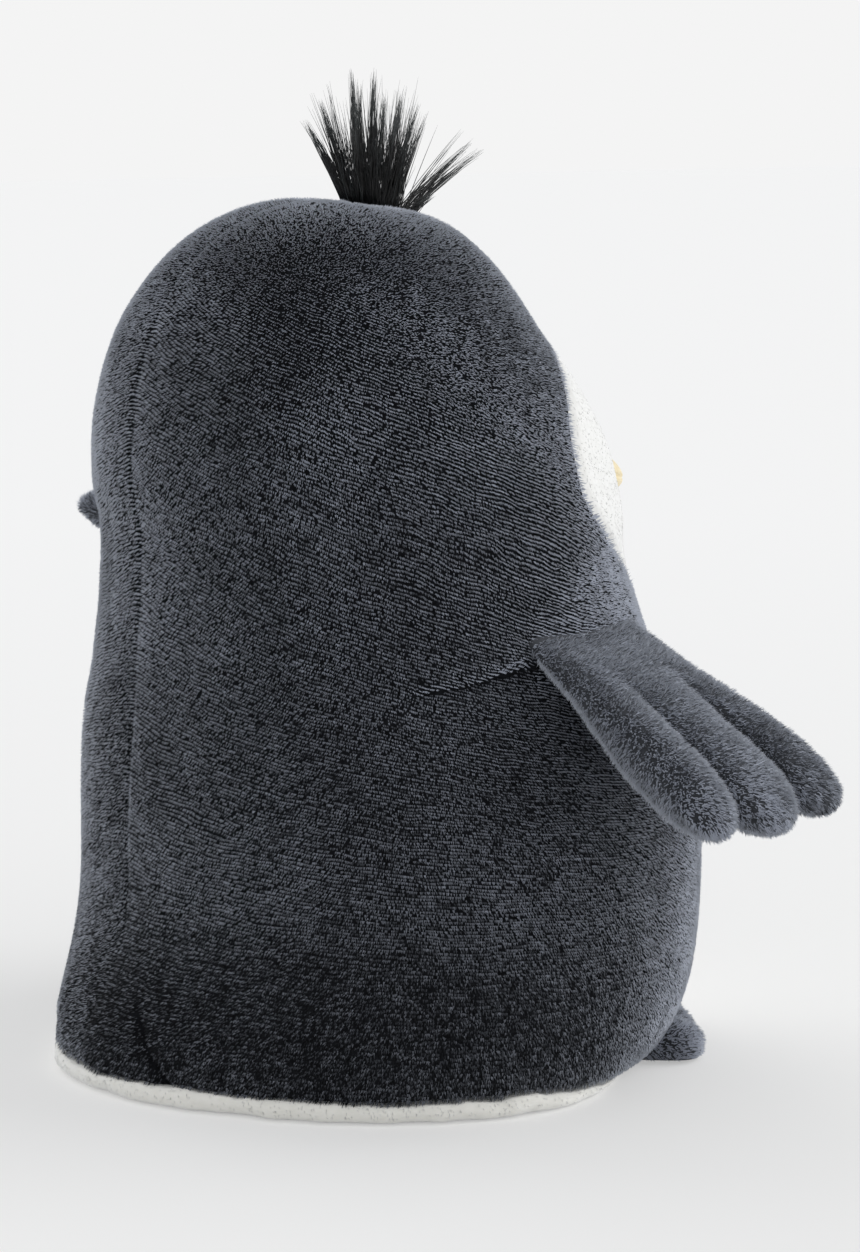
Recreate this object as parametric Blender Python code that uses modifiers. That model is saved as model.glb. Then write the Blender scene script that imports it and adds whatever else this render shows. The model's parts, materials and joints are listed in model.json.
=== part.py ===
"""A stuffed penguin toy sewn from plush panels. Metres, +Z up, the face towards -Y, the floor at Z = 0."""

import math
from collections import namedtuple

import bmesh
import bpy
from mathutils import Matrix, Vector

# Body sections, from the crown down to the flat base
CROWN_HEIGHT = 0.200
CROWN_SETBACK = 0.0091
CROWN_LEAN = 0.7
HEAD_HEIGHT = 0.126
HEAD_WIDTH = 0.1376
HEAD_DEPTH = 0.1156
HEAD_FORWARD = 0.0034
BELLY_HEIGHT = 0.053
BELLY_WIDTH = 0.1666
BELLY_DEPTH = 0.1398
BELLY_FORWARD = 0.0108
BASE_WIDTH = 0.1244
BASE_DEPTH = 0.1218
BASE_SETBACK = 0.0006
BASE_ROUNDNESS = 2.43
TAIL_REACH = 0.010
TAIL_HEIGHT = 0.010
TAIL_RISE = 0.016
TAIL_SHARPNESS = 6

# Cloth, thread and the clearances that sewn pieces keep
SKIN = 0.0022
STUFFING_CLEARANCE = 0.0005
PIECE_CLEARANCE = 0.0004
THREAD_DIAMETER = 0.0006
SEAM_CLEARANCE = 0.0003
SEAM_GAP = THREAD_DIAMETER + 2 * SEAM_CLEARANCE
BASE_SEAM_HEIGHT = 0.0046

# Face and belly patches, as half sizes where their sides cross the body
FACE_HEIGHT = 0.136
FACE_HALF_WIDTH = 0.062
FACE_RISE = 0.029
FACE_DROP = 0.0215
FACE_PLANE = 0.026
FACE_LOW_POWER = 1.5
BELLY_PATCH_HEIGHT = 0.044
BELLY_PATCH_HALF_WIDTH = 0.037
BELLY_PATCH_RISE = 0.046
BELLY_PATCH_DROP = 0.060
BELLY_PATCH_PLANE = 0.068
PATCH_BACK = 0.030
PATCH_NEAR = 0.3
PATCH_FAR = 3.0

# Eyes with stems and washers
EYE_HEIGHT = 0.147
EYE_TURN = 18.0
EYE_RADIUS = 0.0045
EYE_RISE = 0.0022
STEM_RADIUS = 0.0014
STEM_LENGTH = 0.0075
WASHER_RADIUS = 0.0045
WASHER_THICKNESS = 0.0012
WASHER_SEAT = SKIN + 2 * PIECE_CLEARANCE

# Beak
BEAK_HEIGHT = 0.1335
BEAK_WIDTH = 0.025
BEAK_THICKNESS = 0.0135
BEAK_LENGTH = 0.018
BEAK_DROOP = 0.003
BEAK_SKIN = 0.0011

# Hair tuft
TUFT_FORWARD = 0.009
TUFT_LENGTH = 0.019
TUFT_WIDTH = 0.004
TUFT_BACKING = 0.002
TUFT_SUNK = 0.0004
TUFT_HAIR = 0.034
TUFT_BACK_SLOPE = -0.52
TUFT_FRONT_SLOPE = 1.2
TUFT_SIDE_SLOPE = 0.22
TUFT_SWING_GAP = 0.0008
TUFT_ROWS = 6
TUFT_COLUMNS = 25
TUFT_LOCKS = 8
TUFT_ARCH_START = 0.24
TUFT_ARCH_END = 0.74
LOCK_PINCH = 0.55
LOCK_UNEVEN = 0.14
LOCK_PHASE = 2.4
HAIR_UNEVEN = 0.10
HAIR_WAVES = (37, 3.6)
STRAND_MARGIN = 0.00012

# Flippers, placed by their turn from the front and their raise at rest
FLIPPER_HEIGHT = 0.100
FLIPPER_TURN = 73.8
FLIPPER_LENGTH = 0.060
FLIPPER_ROOT_WIDTH = 0.0435
FLIPPER_TIP_WIDTH = 0.055
FLIPPER_THICKNESS = 0.0145
FLIPPER_RAISE_RIGHT = -31.5
FLIPPER_RAISE_LEFT = 16.0
FLIPPER_SWEEP_LEFT = 0.0235
FLIPPER_SWELL = 0.55

# Feet, placed by their turn from the front
FOOT_TURN = 31.0
FOOT_LENGTH = 0.019
FOOT_ROOT_WIDTH = 0.036
FOOT_TIP_WIDTH = 0.041
FOOT_THICKNESS = 0.0130
FOOT_LIFT = 0.0003
FOOT_SWELL = 0.5

# Fingers and toes, as shares of a limb's length and of its thickness
FINGERS = 3
FINGER_START = 0.6
FINGER_ROUNDING = 0.72
GROOVE_DEPTH = 0.42
LIMB_SKIN = 0.0012
LIMB_FILLING = 0.55

# Pellet pouch in the base
POUCH_WIDTH = 0.096
POUCH_DEPTH = 0.092
POUCH_HEIGHT = 0.022
POUCH_BELLY = 1 / 3

# Counts
BODY_SIDES = 28
BASE_STEPS = 4
CHEST_STEPS = 5
DOME_STEPS = 6
PATCH_SIDES = 36
ROUND_SIDES = 16
FINGER_STEPS = 4
FLIPPER_STEPS = 6
FOOT_STEPS = 4
THREAD_POINTS = 30
SHARP_ANGLE = 40
SLOPE_STEP = 0.001

HEAD = (HEAD_WIDTH / 2, HEAD_DEPTH / 2, HEAD_FORWARD)
BELLY = (BELLY_WIDTH / 2, BELLY_DEPTH / 2, BELLY_FORWARD)
BASE = (BASE_WIDTH / 2, BASE_DEPTH / 2, -BASE_SETBACK)
UP = Vector((0, 0, 1))
FAR = 4 * CROWN_HEIGHT

Patch = namedtuple("Patch", "height half_width rise drop plane low_power")
FACE = Patch(FACE_HEIGHT, FACE_HALF_WIDTH, FACE_RISE, FACE_DROP, FACE_PLANE, FACE_LOW_POWER)
BELLY_PATCH = Patch(BELLY_PATCH_HEIGHT, BELLY_PATCH_HALF_WIDTH, BELLY_PATCH_RISE, BELLY_PATCH_DROP,
                    BELLY_PATCH_PLANE, 2)

Limb = namedtuple("Limb", "length end root_width tip_width thickness rim inset lobe bend swell steps wall")


# Scene, collections and materials
def clear_scene():
    for old in list(bpy.data.objects):
        bpy.data.objects.remove(old, do_unlink=True)


def collection(name):
    group = bpy.data.collections.new(name)
    bpy.context.scene.collection.children.link(group)
    return group


def material(name, colour, roughness, metallic=0.0):
    made = bpy.data.materials.new(name)
    made.use_nodes = True
    shader = made.node_tree.nodes["Principled BSDF"]
    shader.inputs["Base Color"].default_value = (*colour, 1)
    shader.inputs["Roughness"].default_value = roughness
    shader.inputs["Metallic"].default_value = metallic
    made.diffuse_color = (*colour, 1)
    return made


clear_scene()
PARTS = collection("plush_penguin")
CUTTERS = collection("cutters")
CHARCOAL = material("charcoal_plush", (0.035, 0.038, 0.046), 0.95)
CREAM = material("cream_plush", (0.83, 0.81, 0.74), 0.95)
YELLOW = material("yellow_felt", (0.86, 0.56, 0.14), 0.9)
BLACK_HAIR = material("black_hair", (0.014, 0.015, 0.018), 0.6)
EYE_BLACK = material("eye_plastic", (0.006, 0.006, 0.007), 0.12)
WASHER_WHITE = material("washer_plastic", (0.75, 0.75, 0.73), 0.5)
STUFFING = material("stuffing_fibre", (0.88, 0.88, 0.86), 1.0)
POUCH_CLOTH = material("pouch_cloth", (0.62, 0.60, 0.55), 0.9)
DARK_THREAD = material("dark_thread", (0.02, 0.021, 0.025), 0.7)
CREAM_THREAD = material("cream_thread", (0.78, 0.75, 0.68), 0.7)


# Objects, cutters and Booleans
def add(name, form, finish, parent=None):
    """Links a bmesh as a named part, in its parent's own axes if it has one."""
    mesh = bpy.data.meshes.new(name)
    form.to_mesh(mesh)
    form.free()
    mesh.shade_smooth()
    mesh.set_sharp_from_angle(angle=math.radians(SHARP_ANGLE))
    mesh.materials.append(finish)
    part = bpy.data.objects.new(name, mesh)
    PARTS.objects.link(part)
    part.parent = parent
    return part


def cutter(name, form, matrix=Matrix()):
    mesh = bpy.data.meshes.new(name)
    form.to_mesh(mesh)
    form.free()
    guide = bpy.data.objects.new(name, mesh)
    CUTTERS.objects.link(guide)
    guide.matrix_world = matrix
    guide.hide_render = True
    guide.display_type = "WIRE"
    return guide


def hinge_empty(name, matrix):
    pivot = bpy.data.objects.new(name, None)
    PARTS.objects.link(pivot)
    pivot.matrix_world = matrix
    return pivot


def boolean(part, operation, *guides):
    for guide in guides:
        step = part.modifiers.new(guide.name, "BOOLEAN")
        step.operation = operation
        step.solver = "EXACT"
        step.object = guide


def box(low, high):
    form = bmesh.new()
    bmesh.ops.create_cube(form, size=1)
    for vert in form.verts:
        vert.co = [a + (c + 0.5) * (b - a) for a, b, c in zip(low, high, vert.co)]
    return form


def rod(radius, start, end, sides=ROUND_SIDES):
    """A cylinder along local Z from start to end."""
    form = bmesh.new()
    middle = Matrix.Translation((0, 0, (start + end) / 2))
    bmesh.ops.create_cone(form, cap_ends=True, segments=sides, radius1=radius, radius2=radius,
                          depth=end - start, matrix=middle)
    return form


def turned(name, profile, finish, matrix):
    """A profile of radii and heights, turned about the local Z axis."""
    form = bmesh.new()
    verts = [form.verts.new((radius, 0, height)) for radius, height in profile]
    for first, second in zip(verts, verts[1:]):
        form.edges.new((first, second))
    mesh = bpy.data.meshes.new(name)
    form.to_mesh(mesh)
    form.free()
    mesh.materials.append(finish)
    part = bpy.data.objects.new(name, mesh)
    PARTS.objects.link(part)
    part.matrix_world = matrix
    turn = part.modifiers.new("Turn", "SCREW")
    turn.steps = ROUND_SIDES
    turn.render_steps = ROUND_SIDES
    turn.use_merge_vertices = True
    turn.merge_threshold = 0.00001
    turn.use_smooth_shade = True
    return part


def thread(name, points, finish, closed=False):
    """A sewing thread through the given points, as a thin tube."""
    curve = bpy.data.curves.new(name, "CURVE")
    curve.dimensions = "3D"
    curve.bevel_depth = THREAD_DIAMETER / 2
    curve.bevel_resolution = 0
    curve.use_fill_caps = True
    curve.materials.append(finish)
    spline = curve.splines.new("POLY")
    spline.points.add(len(points) - 1)
    for node, point in zip(spline.points, points):
        node.co = (*point, 1)
    spline.use_cyclic_u = closed
    part = bpy.data.objects.new(name, curve)
    PARTS.objects.link(part)
    return part


# The body's surface
def blend(low, high, share):
    return low + (high - low) * share


def ease(share):
    return share * share * (3 - 2 * share)


def ring(height):
    """Half width, half depth and forward shift of the body's section at a height."""
    if height >= HEAD_HEIGHT:
        rise = min(1.0, (height - HEAD_HEIGHT) / (CROWN_HEIGHT - HEAD_HEIGHT))
        shrink = math.sqrt(1 - rise * rise)
        forward = blend(HEAD_FORWARD, -CROWN_SETBACK, rise ** CROWN_LEAN)
        return HEAD[0] * shrink, HEAD[1] * shrink, forward
    if height >= BELLY_HEIGHT:
        share = ease((height - BELLY_HEIGHT) / (HEAD_HEIGHT - BELLY_HEIGHT))
        return tuple(blend(low, high, share) for low, high in zip(BELLY, HEAD))
    drop = min(1.0, 1 - height / BELLY_HEIGHT)
    share = (1 - drop ** BASE_ROUNDNESS) ** (1 / BASE_ROUNDNESS)
    return tuple(blend(low, high, share) for low, high in zip(BASE, BELLY))


def body_point(turn, height):
    """A point on the body. The turn, in radians, goes from the face (-Y) to the toy's left (+X)."""
    half_width, half_depth, forward = ring(height)
    tail = TAIL_REACH * math.exp(-((height - TAIL_HEIGHT) / TAIL_RISE) ** 2)
    tail *= max(0.0, -math.cos(turn)) ** TAIL_SHARPNESS
    return Vector((half_width * math.sin(turn), tail - forward - half_depth * math.cos(turn), height))


def inside(point):
    if not 0 <= point.z < CROWN_HEIGHT:
        return False
    half_width, half_depth, forward = ring(point.z)
    return (point.x / half_width) ** 2 + ((point.y + forward) / half_depth) ** 2 < 1


def surface_hit(start, way):
    """Where a ray from inside the body leaves it."""
    near, far = 0.0, CROWN_HEIGHT
    for _ in range(40):
        middle = (near + far) / 2
        if inside(start + way * middle):
            near = middle
        else:
            far = middle
    return start + way * near


def outward(turn, height):
    """The body's unit normal at a turn and height."""
    across = body_point(turn + SLOPE_STEP, height) - body_point(turn - SLOPE_STEP, height)
    along = body_point(turn, height + SLOPE_STEP) - body_point(turn, height - SLOPE_STEP)
    return across.cross(along).normalized()


def body_heights():
    base = [BELLY_HEIGHT * (1 - math.cos(math.pi / 2 * i / BASE_STEPS) ** (2 / BASE_ROUNDNESS))
            for i in range(BASE_STEPS)]
    chest = [blend(BELLY_HEIGHT, HEAD_HEIGHT, i / CHEST_STEPS) for i in range(CHEST_STEPS)]
    dome = [blend(HEAD_HEIGHT, CROWN_HEIGHT, math.sin(math.pi / 2 * i / DOME_STEPS))
            for i in range(DOME_STEPS)]
    return base + chest + dome


def body_form(sunk=0.0):
    """The closed body, shaped from a sphere and sunk inwards along its normals."""
    heights = body_heights()
    bands = len(heights) + 1
    form = bmesh.new()
    bmesh.ops.create_uvsphere(form, u_segments=BODY_SIDES, v_segments=bands, radius=1)
    for vert in form.verts:
        level = bands - round(bands * math.acos(max(-1.0, min(1.0, vert.co.z))) / math.pi)
        if level == 0:
            vert.co = (0, BASE_SETBACK, 0)
        elif level == bands:
            vert.co = (0, CROWN_SETBACK, CROWN_HEIGHT)
        else:
            vert.co = body_point(math.atan2(vert.co.x, -vert.co.y), heights[level - 1])
    bmesh.ops.triangulate(form, faces=form.faces)
    form.normal_update()
    moves = [(vert, vert.co - vert.normal * sunk) for vert in form.verts]
    for vert, place in moves:
        vert.co = place
    return form


# Patches cut through the skin
def patch_offset(patch, angle, grow):
    """A point on a patch's outline, as its side and height from the patch's centre."""
    across, along = math.cos(angle), math.sin(angle)
    power = 2 / (2 if along >= 0 else patch.low_power)
    reach = patch.rise if along >= 0 else patch.drop
    side = math.copysign(abs(across) ** power, across) * (patch.half_width + grow)
    return side, math.copysign(abs(along) ** power, along) * (reach + grow)


def patch_way(patch, angle, grow=0.0):
    side, height = patch_offset(patch, angle, grow)
    return Vector((side, -patch.plane - PATCH_BACK, height))


def patch_apex(patch):
    return Vector((0, PATCH_BACK, patch.height))


def patch_cutter(name, patch, grow):
    """A wedge from behind the body's middle out through the skin, with the patch's outline."""
    form = bmesh.new()
    bmesh.ops.create_cone(form, cap_ends=True, segments=PATCH_SIDES, radius1=PATCH_NEAR, radius2=PATCH_FAR,
                          depth=1)
    for vert in form.verts:
        scale = PATCH_NEAR if vert.co.z < 0 else PATCH_FAR
        angle = math.atan2(vert.co.y, vert.co.x)
        vert.co = patch_apex(patch) + patch_way(patch, angle, grow) * scale
    return cutter(name, form)


def patch_seam(patch, angles):
    """Points half way down in the skin along a patch's outline."""
    points = []
    for angle in angles:
        way = patch_way(patch, angle).normalized()
        points.append(surface_hit(patch_apex(patch), way) - way * SKIN / 2)
    return points


# Body panels and what fills them
def body_panels():
    inner = cutter("body_inner", body_form(SKIN))
    half = SEAM_GAP / 2
    above = cutter("above_base", box((-FAR, -FAR, BASE_SEAM_HEIGHT + half), (FAR, FAR, FAR)))
    below = cutter("below_base", box((-FAR, -FAR, -FAR), (FAR, FAR, BASE_SEAM_HEIGHT - half)))
    sides = {"left": cutter("left_half", box((half, -FAR, -FAR), (FAR, FAR, FAR))),
             "right": cutter("right_half", box((-FAR, -FAR, -FAR), (-half, FAR, FAR)))}
    face_hole = patch_cutter("face_hole", FACE, half)
    belly_hole = patch_cutter("belly_hole", BELLY_PATCH, half)
    panels = {}
    for side, side_half in sides.items():
        back = add("back_panel_" + side, body_form(), CHARCOAL)
        boolean(back, "DIFFERENCE", inner)
        boolean(back, "INTERSECT", side_half, above)
        boolean(back, "DIFFERENCE", face_hole, belly_hole)
        panels[side] = back
    face = add("face_panel", body_form(), CREAM)
    boolean(face, "DIFFERENCE", inner)
    boolean(face, "INTERSECT", patch_cutter("face_keep", FACE, -half))
    belly = add("belly_panel", body_form(), CREAM)
    boolean(belly, "DIFFERENCE", inner)
    boolean(belly, "INTERSECT", patch_cutter("belly_keep", BELLY_PATCH, -half), above)
    base = add("base_panel", body_form(), CREAM)
    boolean(base, "DIFFERENCE", inner)
    boolean(base, "INTERSECT", below)
    panels["face"] = face
    return panels


def pouch_form(grow, floor):
    """A round cushion of pellets, flat where it lies on the base."""
    form = bmesh.new()
    bmesh.ops.create_uvsphere(form, u_segments=ROUND_SIDES, v_segments=ROUND_SIDES // 2, radius=1)
    middle = SKIN + PIECE_CLEARANCE + POUCH_HEIGHT * POUCH_BELLY
    for vert in form.verts:
        rise = POUCH_HEIGHT * (1 - POUCH_BELLY) if vert.co.z > 0 else POUCH_HEIGHT
        place = Vector((vert.co.x * (POUCH_WIDTH / 2 + grow), vert.co.y * (POUCH_DEPTH / 2 + grow),
                        middle + vert.co.z * (rise + grow)))
        place.z = max(place.z, floor)
        vert.co = place
    bmesh.ops.dissolve_limit(form, angle_limit=math.radians(0.5), verts=form.verts, edges=form.edges)
    return form


def fill_body(pockets):
    stuffing = add("body_stuffing", body_form(SKIN + STUFFING_CLEARANCE), STUFFING)
    add("pellet_pouch", pouch_form(0, SKIN + PIECE_CLEARANCE), POUCH_CLOTH)
    pouch_room = cutter("pouch_room", pouch_form(PIECE_CLEARANCE, SKIN / 2))
    boolean(stuffing, "DIFFERENCE", pouch_room, *pockets)


# Seam threads
def centre_points(first, last, turn):
    """Points half way down in the skin along the centre seam, between two heights."""
    points = []
    count = max(4, round(THREAD_POINTS * (last - first) / CROWN_HEIGHT))
    for i in range(count):
        share = math.sin(math.pi / 2 * i / (count - 1))
        height = blend(first, last, share)
        points.append(body_point(turn, height) - outward(turn, height) * SKIN / 2)
    return points


def seam_threads():
    margin = 2 * SEAM_GAP
    tuft_back = crown_height(tuft_end(-1) + margin)
    tuft_front = crown_height(tuft_end(1) - margin)
    face_top = patch_seam(FACE, [math.pi / 2])[0].z + margin
    face_bottom = patch_seam(FACE, [-math.pi / 2])[0].z - margin
    belly_top = patch_seam(BELLY_PATCH, [math.pi / 2])[0].z + margin
    thread("back_seam_thread", centre_points(BASE_SEAM_HEIGHT + margin, tuft_back, math.pi), DARK_THREAD)
    thread("brow_seam_thread", centre_points(face_top, tuft_front, 0.0), DARK_THREAD)
    thread("throat_seam_thread", centre_points(belly_top, face_bottom, 0.0), DARK_THREAD)
    loop = [2 * math.pi * i / PATCH_SIDES for i in range(PATCH_SIDES)]
    thread("face_seam_thread", patch_seam(FACE, loop), CREAM_THREAD, closed=True)
    arc = patch_arc(BELLY_PATCH, BASE_SEAM_HEIGHT + margin)
    thread("belly_seam_thread", patch_seam(BELLY_PATCH, arc), CREAM_THREAD)
    turns = [2 * math.pi * i / BODY_SIDES for i in range(BODY_SIDES)]
    rim = [body_point(turn, BASE_SEAM_HEIGHT) for turn in turns]
    sunk = [p - outward(turn, BASE_SEAM_HEIGHT) * SKIN / 2 for p, turn in zip(rim, turns)]
    level = [Vector((p.x, p.y, BASE_SEAM_HEIGHT)) for p in sunk]
    thread("base_seam_thread", level, CREAM_THREAD, closed=True)


def patch_arc(patch, lowest):
    """The angles of a patch's outline that lie above a height, from its right side over to its left."""
    steps = [2 * math.pi * i / PATCH_SIDES for i in range(-PATCH_SIDES // 4 + 1, 3 * PATCH_SIDES // 4)]
    seam = patch_seam(patch, steps)
    return [angle for angle, point in zip(steps, seam) if point.z > lowest]


# Eyes and beak
def eye_matrix(sign):
    turn = sign * math.radians(EYE_TURN)
    axis = outward(turn, EYE_HEIGHT)
    place = body_point(turn, EYE_HEIGHT) + axis * PIECE_CLEARANCE
    return Matrix.Translation(place) @ axis.to_track_quat("Z", "Y").to_matrix().to_4x4()


def eyes(face):
    """Domed eyes on stems, the washers behind the face and the room that they take in the stuffing."""
    pockets = []
    for side, sign in (("left", 1), ("right", -1)):
        matrix = eye_matrix(sign)
        steps = ROUND_SIDES // 4
        arcs = [math.pi / 2 * i / steps for i in range(steps + 1)]
        dome = [(EYE_RADIUS * math.sin(a), EYE_RISE * math.cos(a)) for a in arcs]
        stem = [(STEM_RADIUS, 0), (STEM_RADIUS, -STEM_LENGTH), (0, -STEM_LENGTH)]
        turned("eye_" + side, dome + stem, EYE_BLACK, matrix)
        bore = STEM_RADIUS + SEAM_CLEARANCE
        seat = -WASHER_SEAT - PIECE_CLEARANCE
        foot = seat - WASHER_THICKNESS
        outer = [(WASHER_RADIUS, seat), (WASHER_RADIUS, foot)]
        turned("eye_washer_" + side, [(bore, seat), *outer, (bore, foot), (bore, seat)], WASHER_WHITE, matrix)
        boolean(face, "DIFFERENCE", cutter("stem_hole_" + side, rod(bore, -3 * SKIN, SKIN), matrix))
        room = rod(WASHER_RADIUS + PIECE_CLEARANCE, -STEM_LENGTH - PIECE_CLEARANCE, 0)
        pockets.append(cutter("eye_room_" + side, room, matrix))
    return pockets


def beak_form(sunk):
    """A blunt cone that swells from the face and dips towards its tip."""
    root = body_point(0, BEAK_HEIGHT)
    form = bmesh.new()
    bmesh.ops.create_uvsphere(form, u_segments=ROUND_SIDES, v_segments=ROUND_SIDES // 2, radius=1,
                              matrix=Matrix.Rotation(math.pi / 2, 4, "X"))
    for vert in form.verts:
        reach = max(0.0, -vert.co.y)
        vert.co = (root.x + vert.co.x * (BEAK_WIDTH / 2 - sunk),
                   root.y + vert.co.y * (BEAK_LENGTH - sunk),
                   root.z + vert.co.z * (BEAK_THICKNESS / 2 - sunk) - BEAK_DROOP * reach * reach)
    return form


def beak(near_body):
    inner = cutter("beak_inner", beak_form(BEAK_SKIN))
    split = BEAK_HEIGHT - BEAK_DROOP / 2
    half = PIECE_CLEARANCE / 2
    halves = {"upper": box((-FAR, -FAR, split + half), (FAR, FAR, FAR)),
              "lower": box((-FAR, -FAR, -FAR), (FAR, FAR, split - half))}
    for side, form in halves.items():
        felt = add("beak_" + side, beak_form(0), YELLOW)
        boolean(felt, "DIFFERENCE", inner)
        boolean(felt, "INTERSECT", cutter("beak_half_" + side, form))
        boolean(felt, "DIFFERENCE", near_body)
    pad = add("beak_stuffing", beak_form(BEAK_SKIN + PIECE_CLEARANCE), STUFFING)
    boolean(pad, "DIFFERENCE", near_body)


# Hair tuft
def crown_height(y):
    """The body's height on the centre plane at a place near the crown."""
    start = Vector((0, y, HEAD_HEIGHT))
    return surface_hit(start, UP).z


def tuft_pitch():
    step = TUFT_LENGTH / 2
    rise = crown_height(-TUFT_FORWARD + step) - crown_height(-TUFT_FORWARD - step)
    return math.atan2(rise, 2 * step)


def tuft_end(sign):
    """Where the tuft ends along Y, to the front for 1 and to the back for -1."""
    return -TUFT_FORWARD - sign * math.cos(tuft_pitch()) * TUFT_LENGTH / 2


def tuft_matrix():
    """The tuft's axes: Y along the crown seam to the back, Z out of the crown, on the swing axis."""
    place = Vector((0, -TUFT_FORWARD, crown_height(-TUFT_FORWARD) - TUFT_SUNK - TUFT_BACKING / 2))
    return Matrix.Translation(place) @ Matrix.Rotation(tuft_pitch(), 4, "X")


def strand_tip(root):
    """The tip of the hair that grows at a root, in the tuft's axes. Hairs gather into locks and fan out."""
    along = 0.5 - root.y / TUFT_LENGTH
    lock = min(TUFT_LOCKS - 1, int(along * TUFT_LOCKS))
    centre = (lock + 0.5) / TUFT_LOCKS
    arch = math.sin(math.pi * blend(TUFT_ARCH_START, TUFT_ARCH_END, centre))
    lock_wave = math.cos(LOCK_PHASE * lock)
    hair_wave = abs(math.sin(HAIR_WAVES[0] * along) * math.cos(HAIR_WAVES[1] * root.x / TUFT_WIDTH))
    length = TUFT_HAIR * arch * (1 - LOCK_UNEVEN * (1 - lock_wave) - HAIR_UNEVEN * hair_wave)
    slope = math.tan(math.atan(blend(TUFT_BACK_SLOPE, TUFT_FRONT_SLOPE, centre)) - tuft_pitch())
    pinch = LOCK_PINCH * (along - centre) * TUFT_LENGTH
    rise = length / math.hypot(1, slope)
    lean = 2 * TUFT_SIDE_SLOPE * root.x / TUFT_WIDTH
    return Vector((root.x + lean * rise, root.y - slope * rise + pinch, root.z + rise))


def tuft(panels):
    """Hairs of three sides, grown from the top of a backing strip that is sewn into the crown seam."""
    matrix = tuft_matrix()
    form = bmesh.new()
    bmesh.ops.create_grid(form, x_segments=TUFT_ROWS, y_segments=TUFT_COLUMNS, size=0.5)
    for vert in form.verts:
        vert.co = (vert.co.x * TUFT_WIDTH, vert.co.y * TUFT_LENGTH, TUFT_BACKING / 2)
    rim = [edge for edge in form.edges if edge.is_boundary]
    walls = bmesh.ops.extrude_edge_only(form, edges=rim)["geom"]
    bmesh.ops.translate(form, verts=[v for v in walls if isinstance(v, bmesh.types.BMVert)],
                        vec=(0, 0, -TUFT_BACKING))
    bmesh.ops.holes_fill(form, edges=[edge for edge in form.edges if edge.is_boundary])
    bmesh.ops.recalc_face_normals(form, faces=form.faces)
    top = [face for face in form.faces if face.normal.z > 0.9]
    cells = bmesh.ops.triangulate(form, faces=top)["faces"]
    bmesh.ops.inset_individual(form, faces=cells, thickness=STRAND_MARGIN)
    ends = bmesh.ops.extrude_discrete_faces(form, faces=cells)["faces"]
    tips = [(list(face.verts), strand_tip(face.calc_center_median())) for face in ends]
    for verts, place in tips:
        bmesh.ops.pointmerge(form, verts=verts, merge_co=place)
    bmesh.ops.recalc_face_normals(form, faces=form.faces)
    pivot = hinge_empty("tuft_pivot", matrix)
    add("hair_tuft", form, BLACK_HAIR, pivot)
    swing = math.hypot(TUFT_WIDTH / 2, TUFT_BACKING / 2) + TUFT_SWING_GAP
    length = TUFT_LENGTH / 2 + PIECE_CLEARANCE
    slot = box((-swing, -length, -swing), (swing, length, FAR))
    slot_cutter = cutter("tuft_slot", slot, matrix)
    boolean(panels["left"], "DIFFERENCE", slot_cutter)
    boolean(panels["right"], "DIFFERENCE", slot_cutter)
    return slot_cutter


# Flippers and feet, as fingered pads that grow along local Y from a hinge on local X
def limb_point(limb, across, along):
    """Local x, y and half thickness of a limb at grid shares across (-1 to 1) and along (0 to 1)."""
    finger = min(FINGERS - 1, int((across + 1) / 2 * FINGERS))
    within = (across + 1) / 2 * FINGERS - finger
    curve = math.sin(math.pi * (within - 0.5))
    side = 2 * (finger + (curve + 1) / 2) / FINGERS - 1
    arch = math.sqrt(1 - curve * curve)
    reach = math.sin(math.pi / 2 * along)
    half_width = blend(limb.root_width, limb.tip_width, reach) / 2 - limb.inset
    root = limb.wall(side * (limb.root_width / 2 - limb.inset)) + limb.inset
    tip = limb.end - limb.inset - limb.lobe * (1 - arch)
    y = blend(root, tip, reach)
    share = reach * limb.end / limb.length
    rise = math.sin(math.pi / 2 * min(1.0, share / limb.swell))
    past = max(0.0, (reach - FINGER_ROUNDING) / (1 - FINGER_ROUNDING))
    cap = math.sqrt(max(0.0, 1 - past * past))
    palm = math.sqrt(max(0.0, 1 - side * side))
    fingers = blend(GROOVE_DEPTH * (1 - side ** 6), 1.0, arch)
    profile = blend(palm, fingers, ease(min(1.0, share / FINGER_START)))
    thick = limb.rim + (limb.thickness - limb.rim) * rise * cap * profile
    return side * half_width + limb.bend * max(0.0, y) ** 2, y, thick


def limb_sheet(limb):
    """The limb's upper face as an open grid that faces local +Z."""
    form = bmesh.new()
    bmesh.ops.create_grid(form, x_segments=FINGERS * FINGER_STEPS, y_segments=limb.steps, size=1)
    for vert in form.verts:
        vert.co = limb_point(limb, vert.co.x, (vert.co.y + 1) / 2)
    form.normal_update()
    if sum(face.normal.z for face in form.faces) < 0:
        bmesh.ops.reverse_faces(form, faces=form.faces)
    return form


def mirrored(form):
    """The same sheet below the hinge plane, facing local -Z."""
    bmesh.ops.scale(form, vec=(1, 1, -1), verts=form.verts)
    bmesh.ops.reverse_faces(form, faces=form.faces)
    return form


def filling_form(limb, flat):
    """The stuffing of a limb, which ends short of the fingers' tips."""
    short = limb._replace(end=limb.length - limb.lobe, lobe=0.0, inset=LIMB_SKIN + 3 * PIECE_CLEARANCE,
                          rim=PIECE_CLEARANCE, thickness=(limb.thickness - limb.rim) * LIMB_FILLING)
    form = limb_sheet(short)
    copy = bmesh.ops.duplicate(form, geom=list(form.verts) + list(form.edges) + list(form.faces))["geom"]
    for item in copy:
        if isinstance(item, bmesh.types.BMVert):
            item.co.z = 0.0 if flat else -item.co.z
    bmesh.ops.bridge_loops(form, edges=[edge for edge in form.edges if edge.is_boundary])
    bmesh.ops.recalc_face_normals(form, faces=form.faces)
    return form


def cloth(name, form, parent):
    part = add(name, form, CHARCOAL, parent)
    shell = part.modifiers.new("Cloth", "SOLIDIFY")
    shell.thickness = LIMB_SKIN
    shell.offset = -1
    return part


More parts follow.
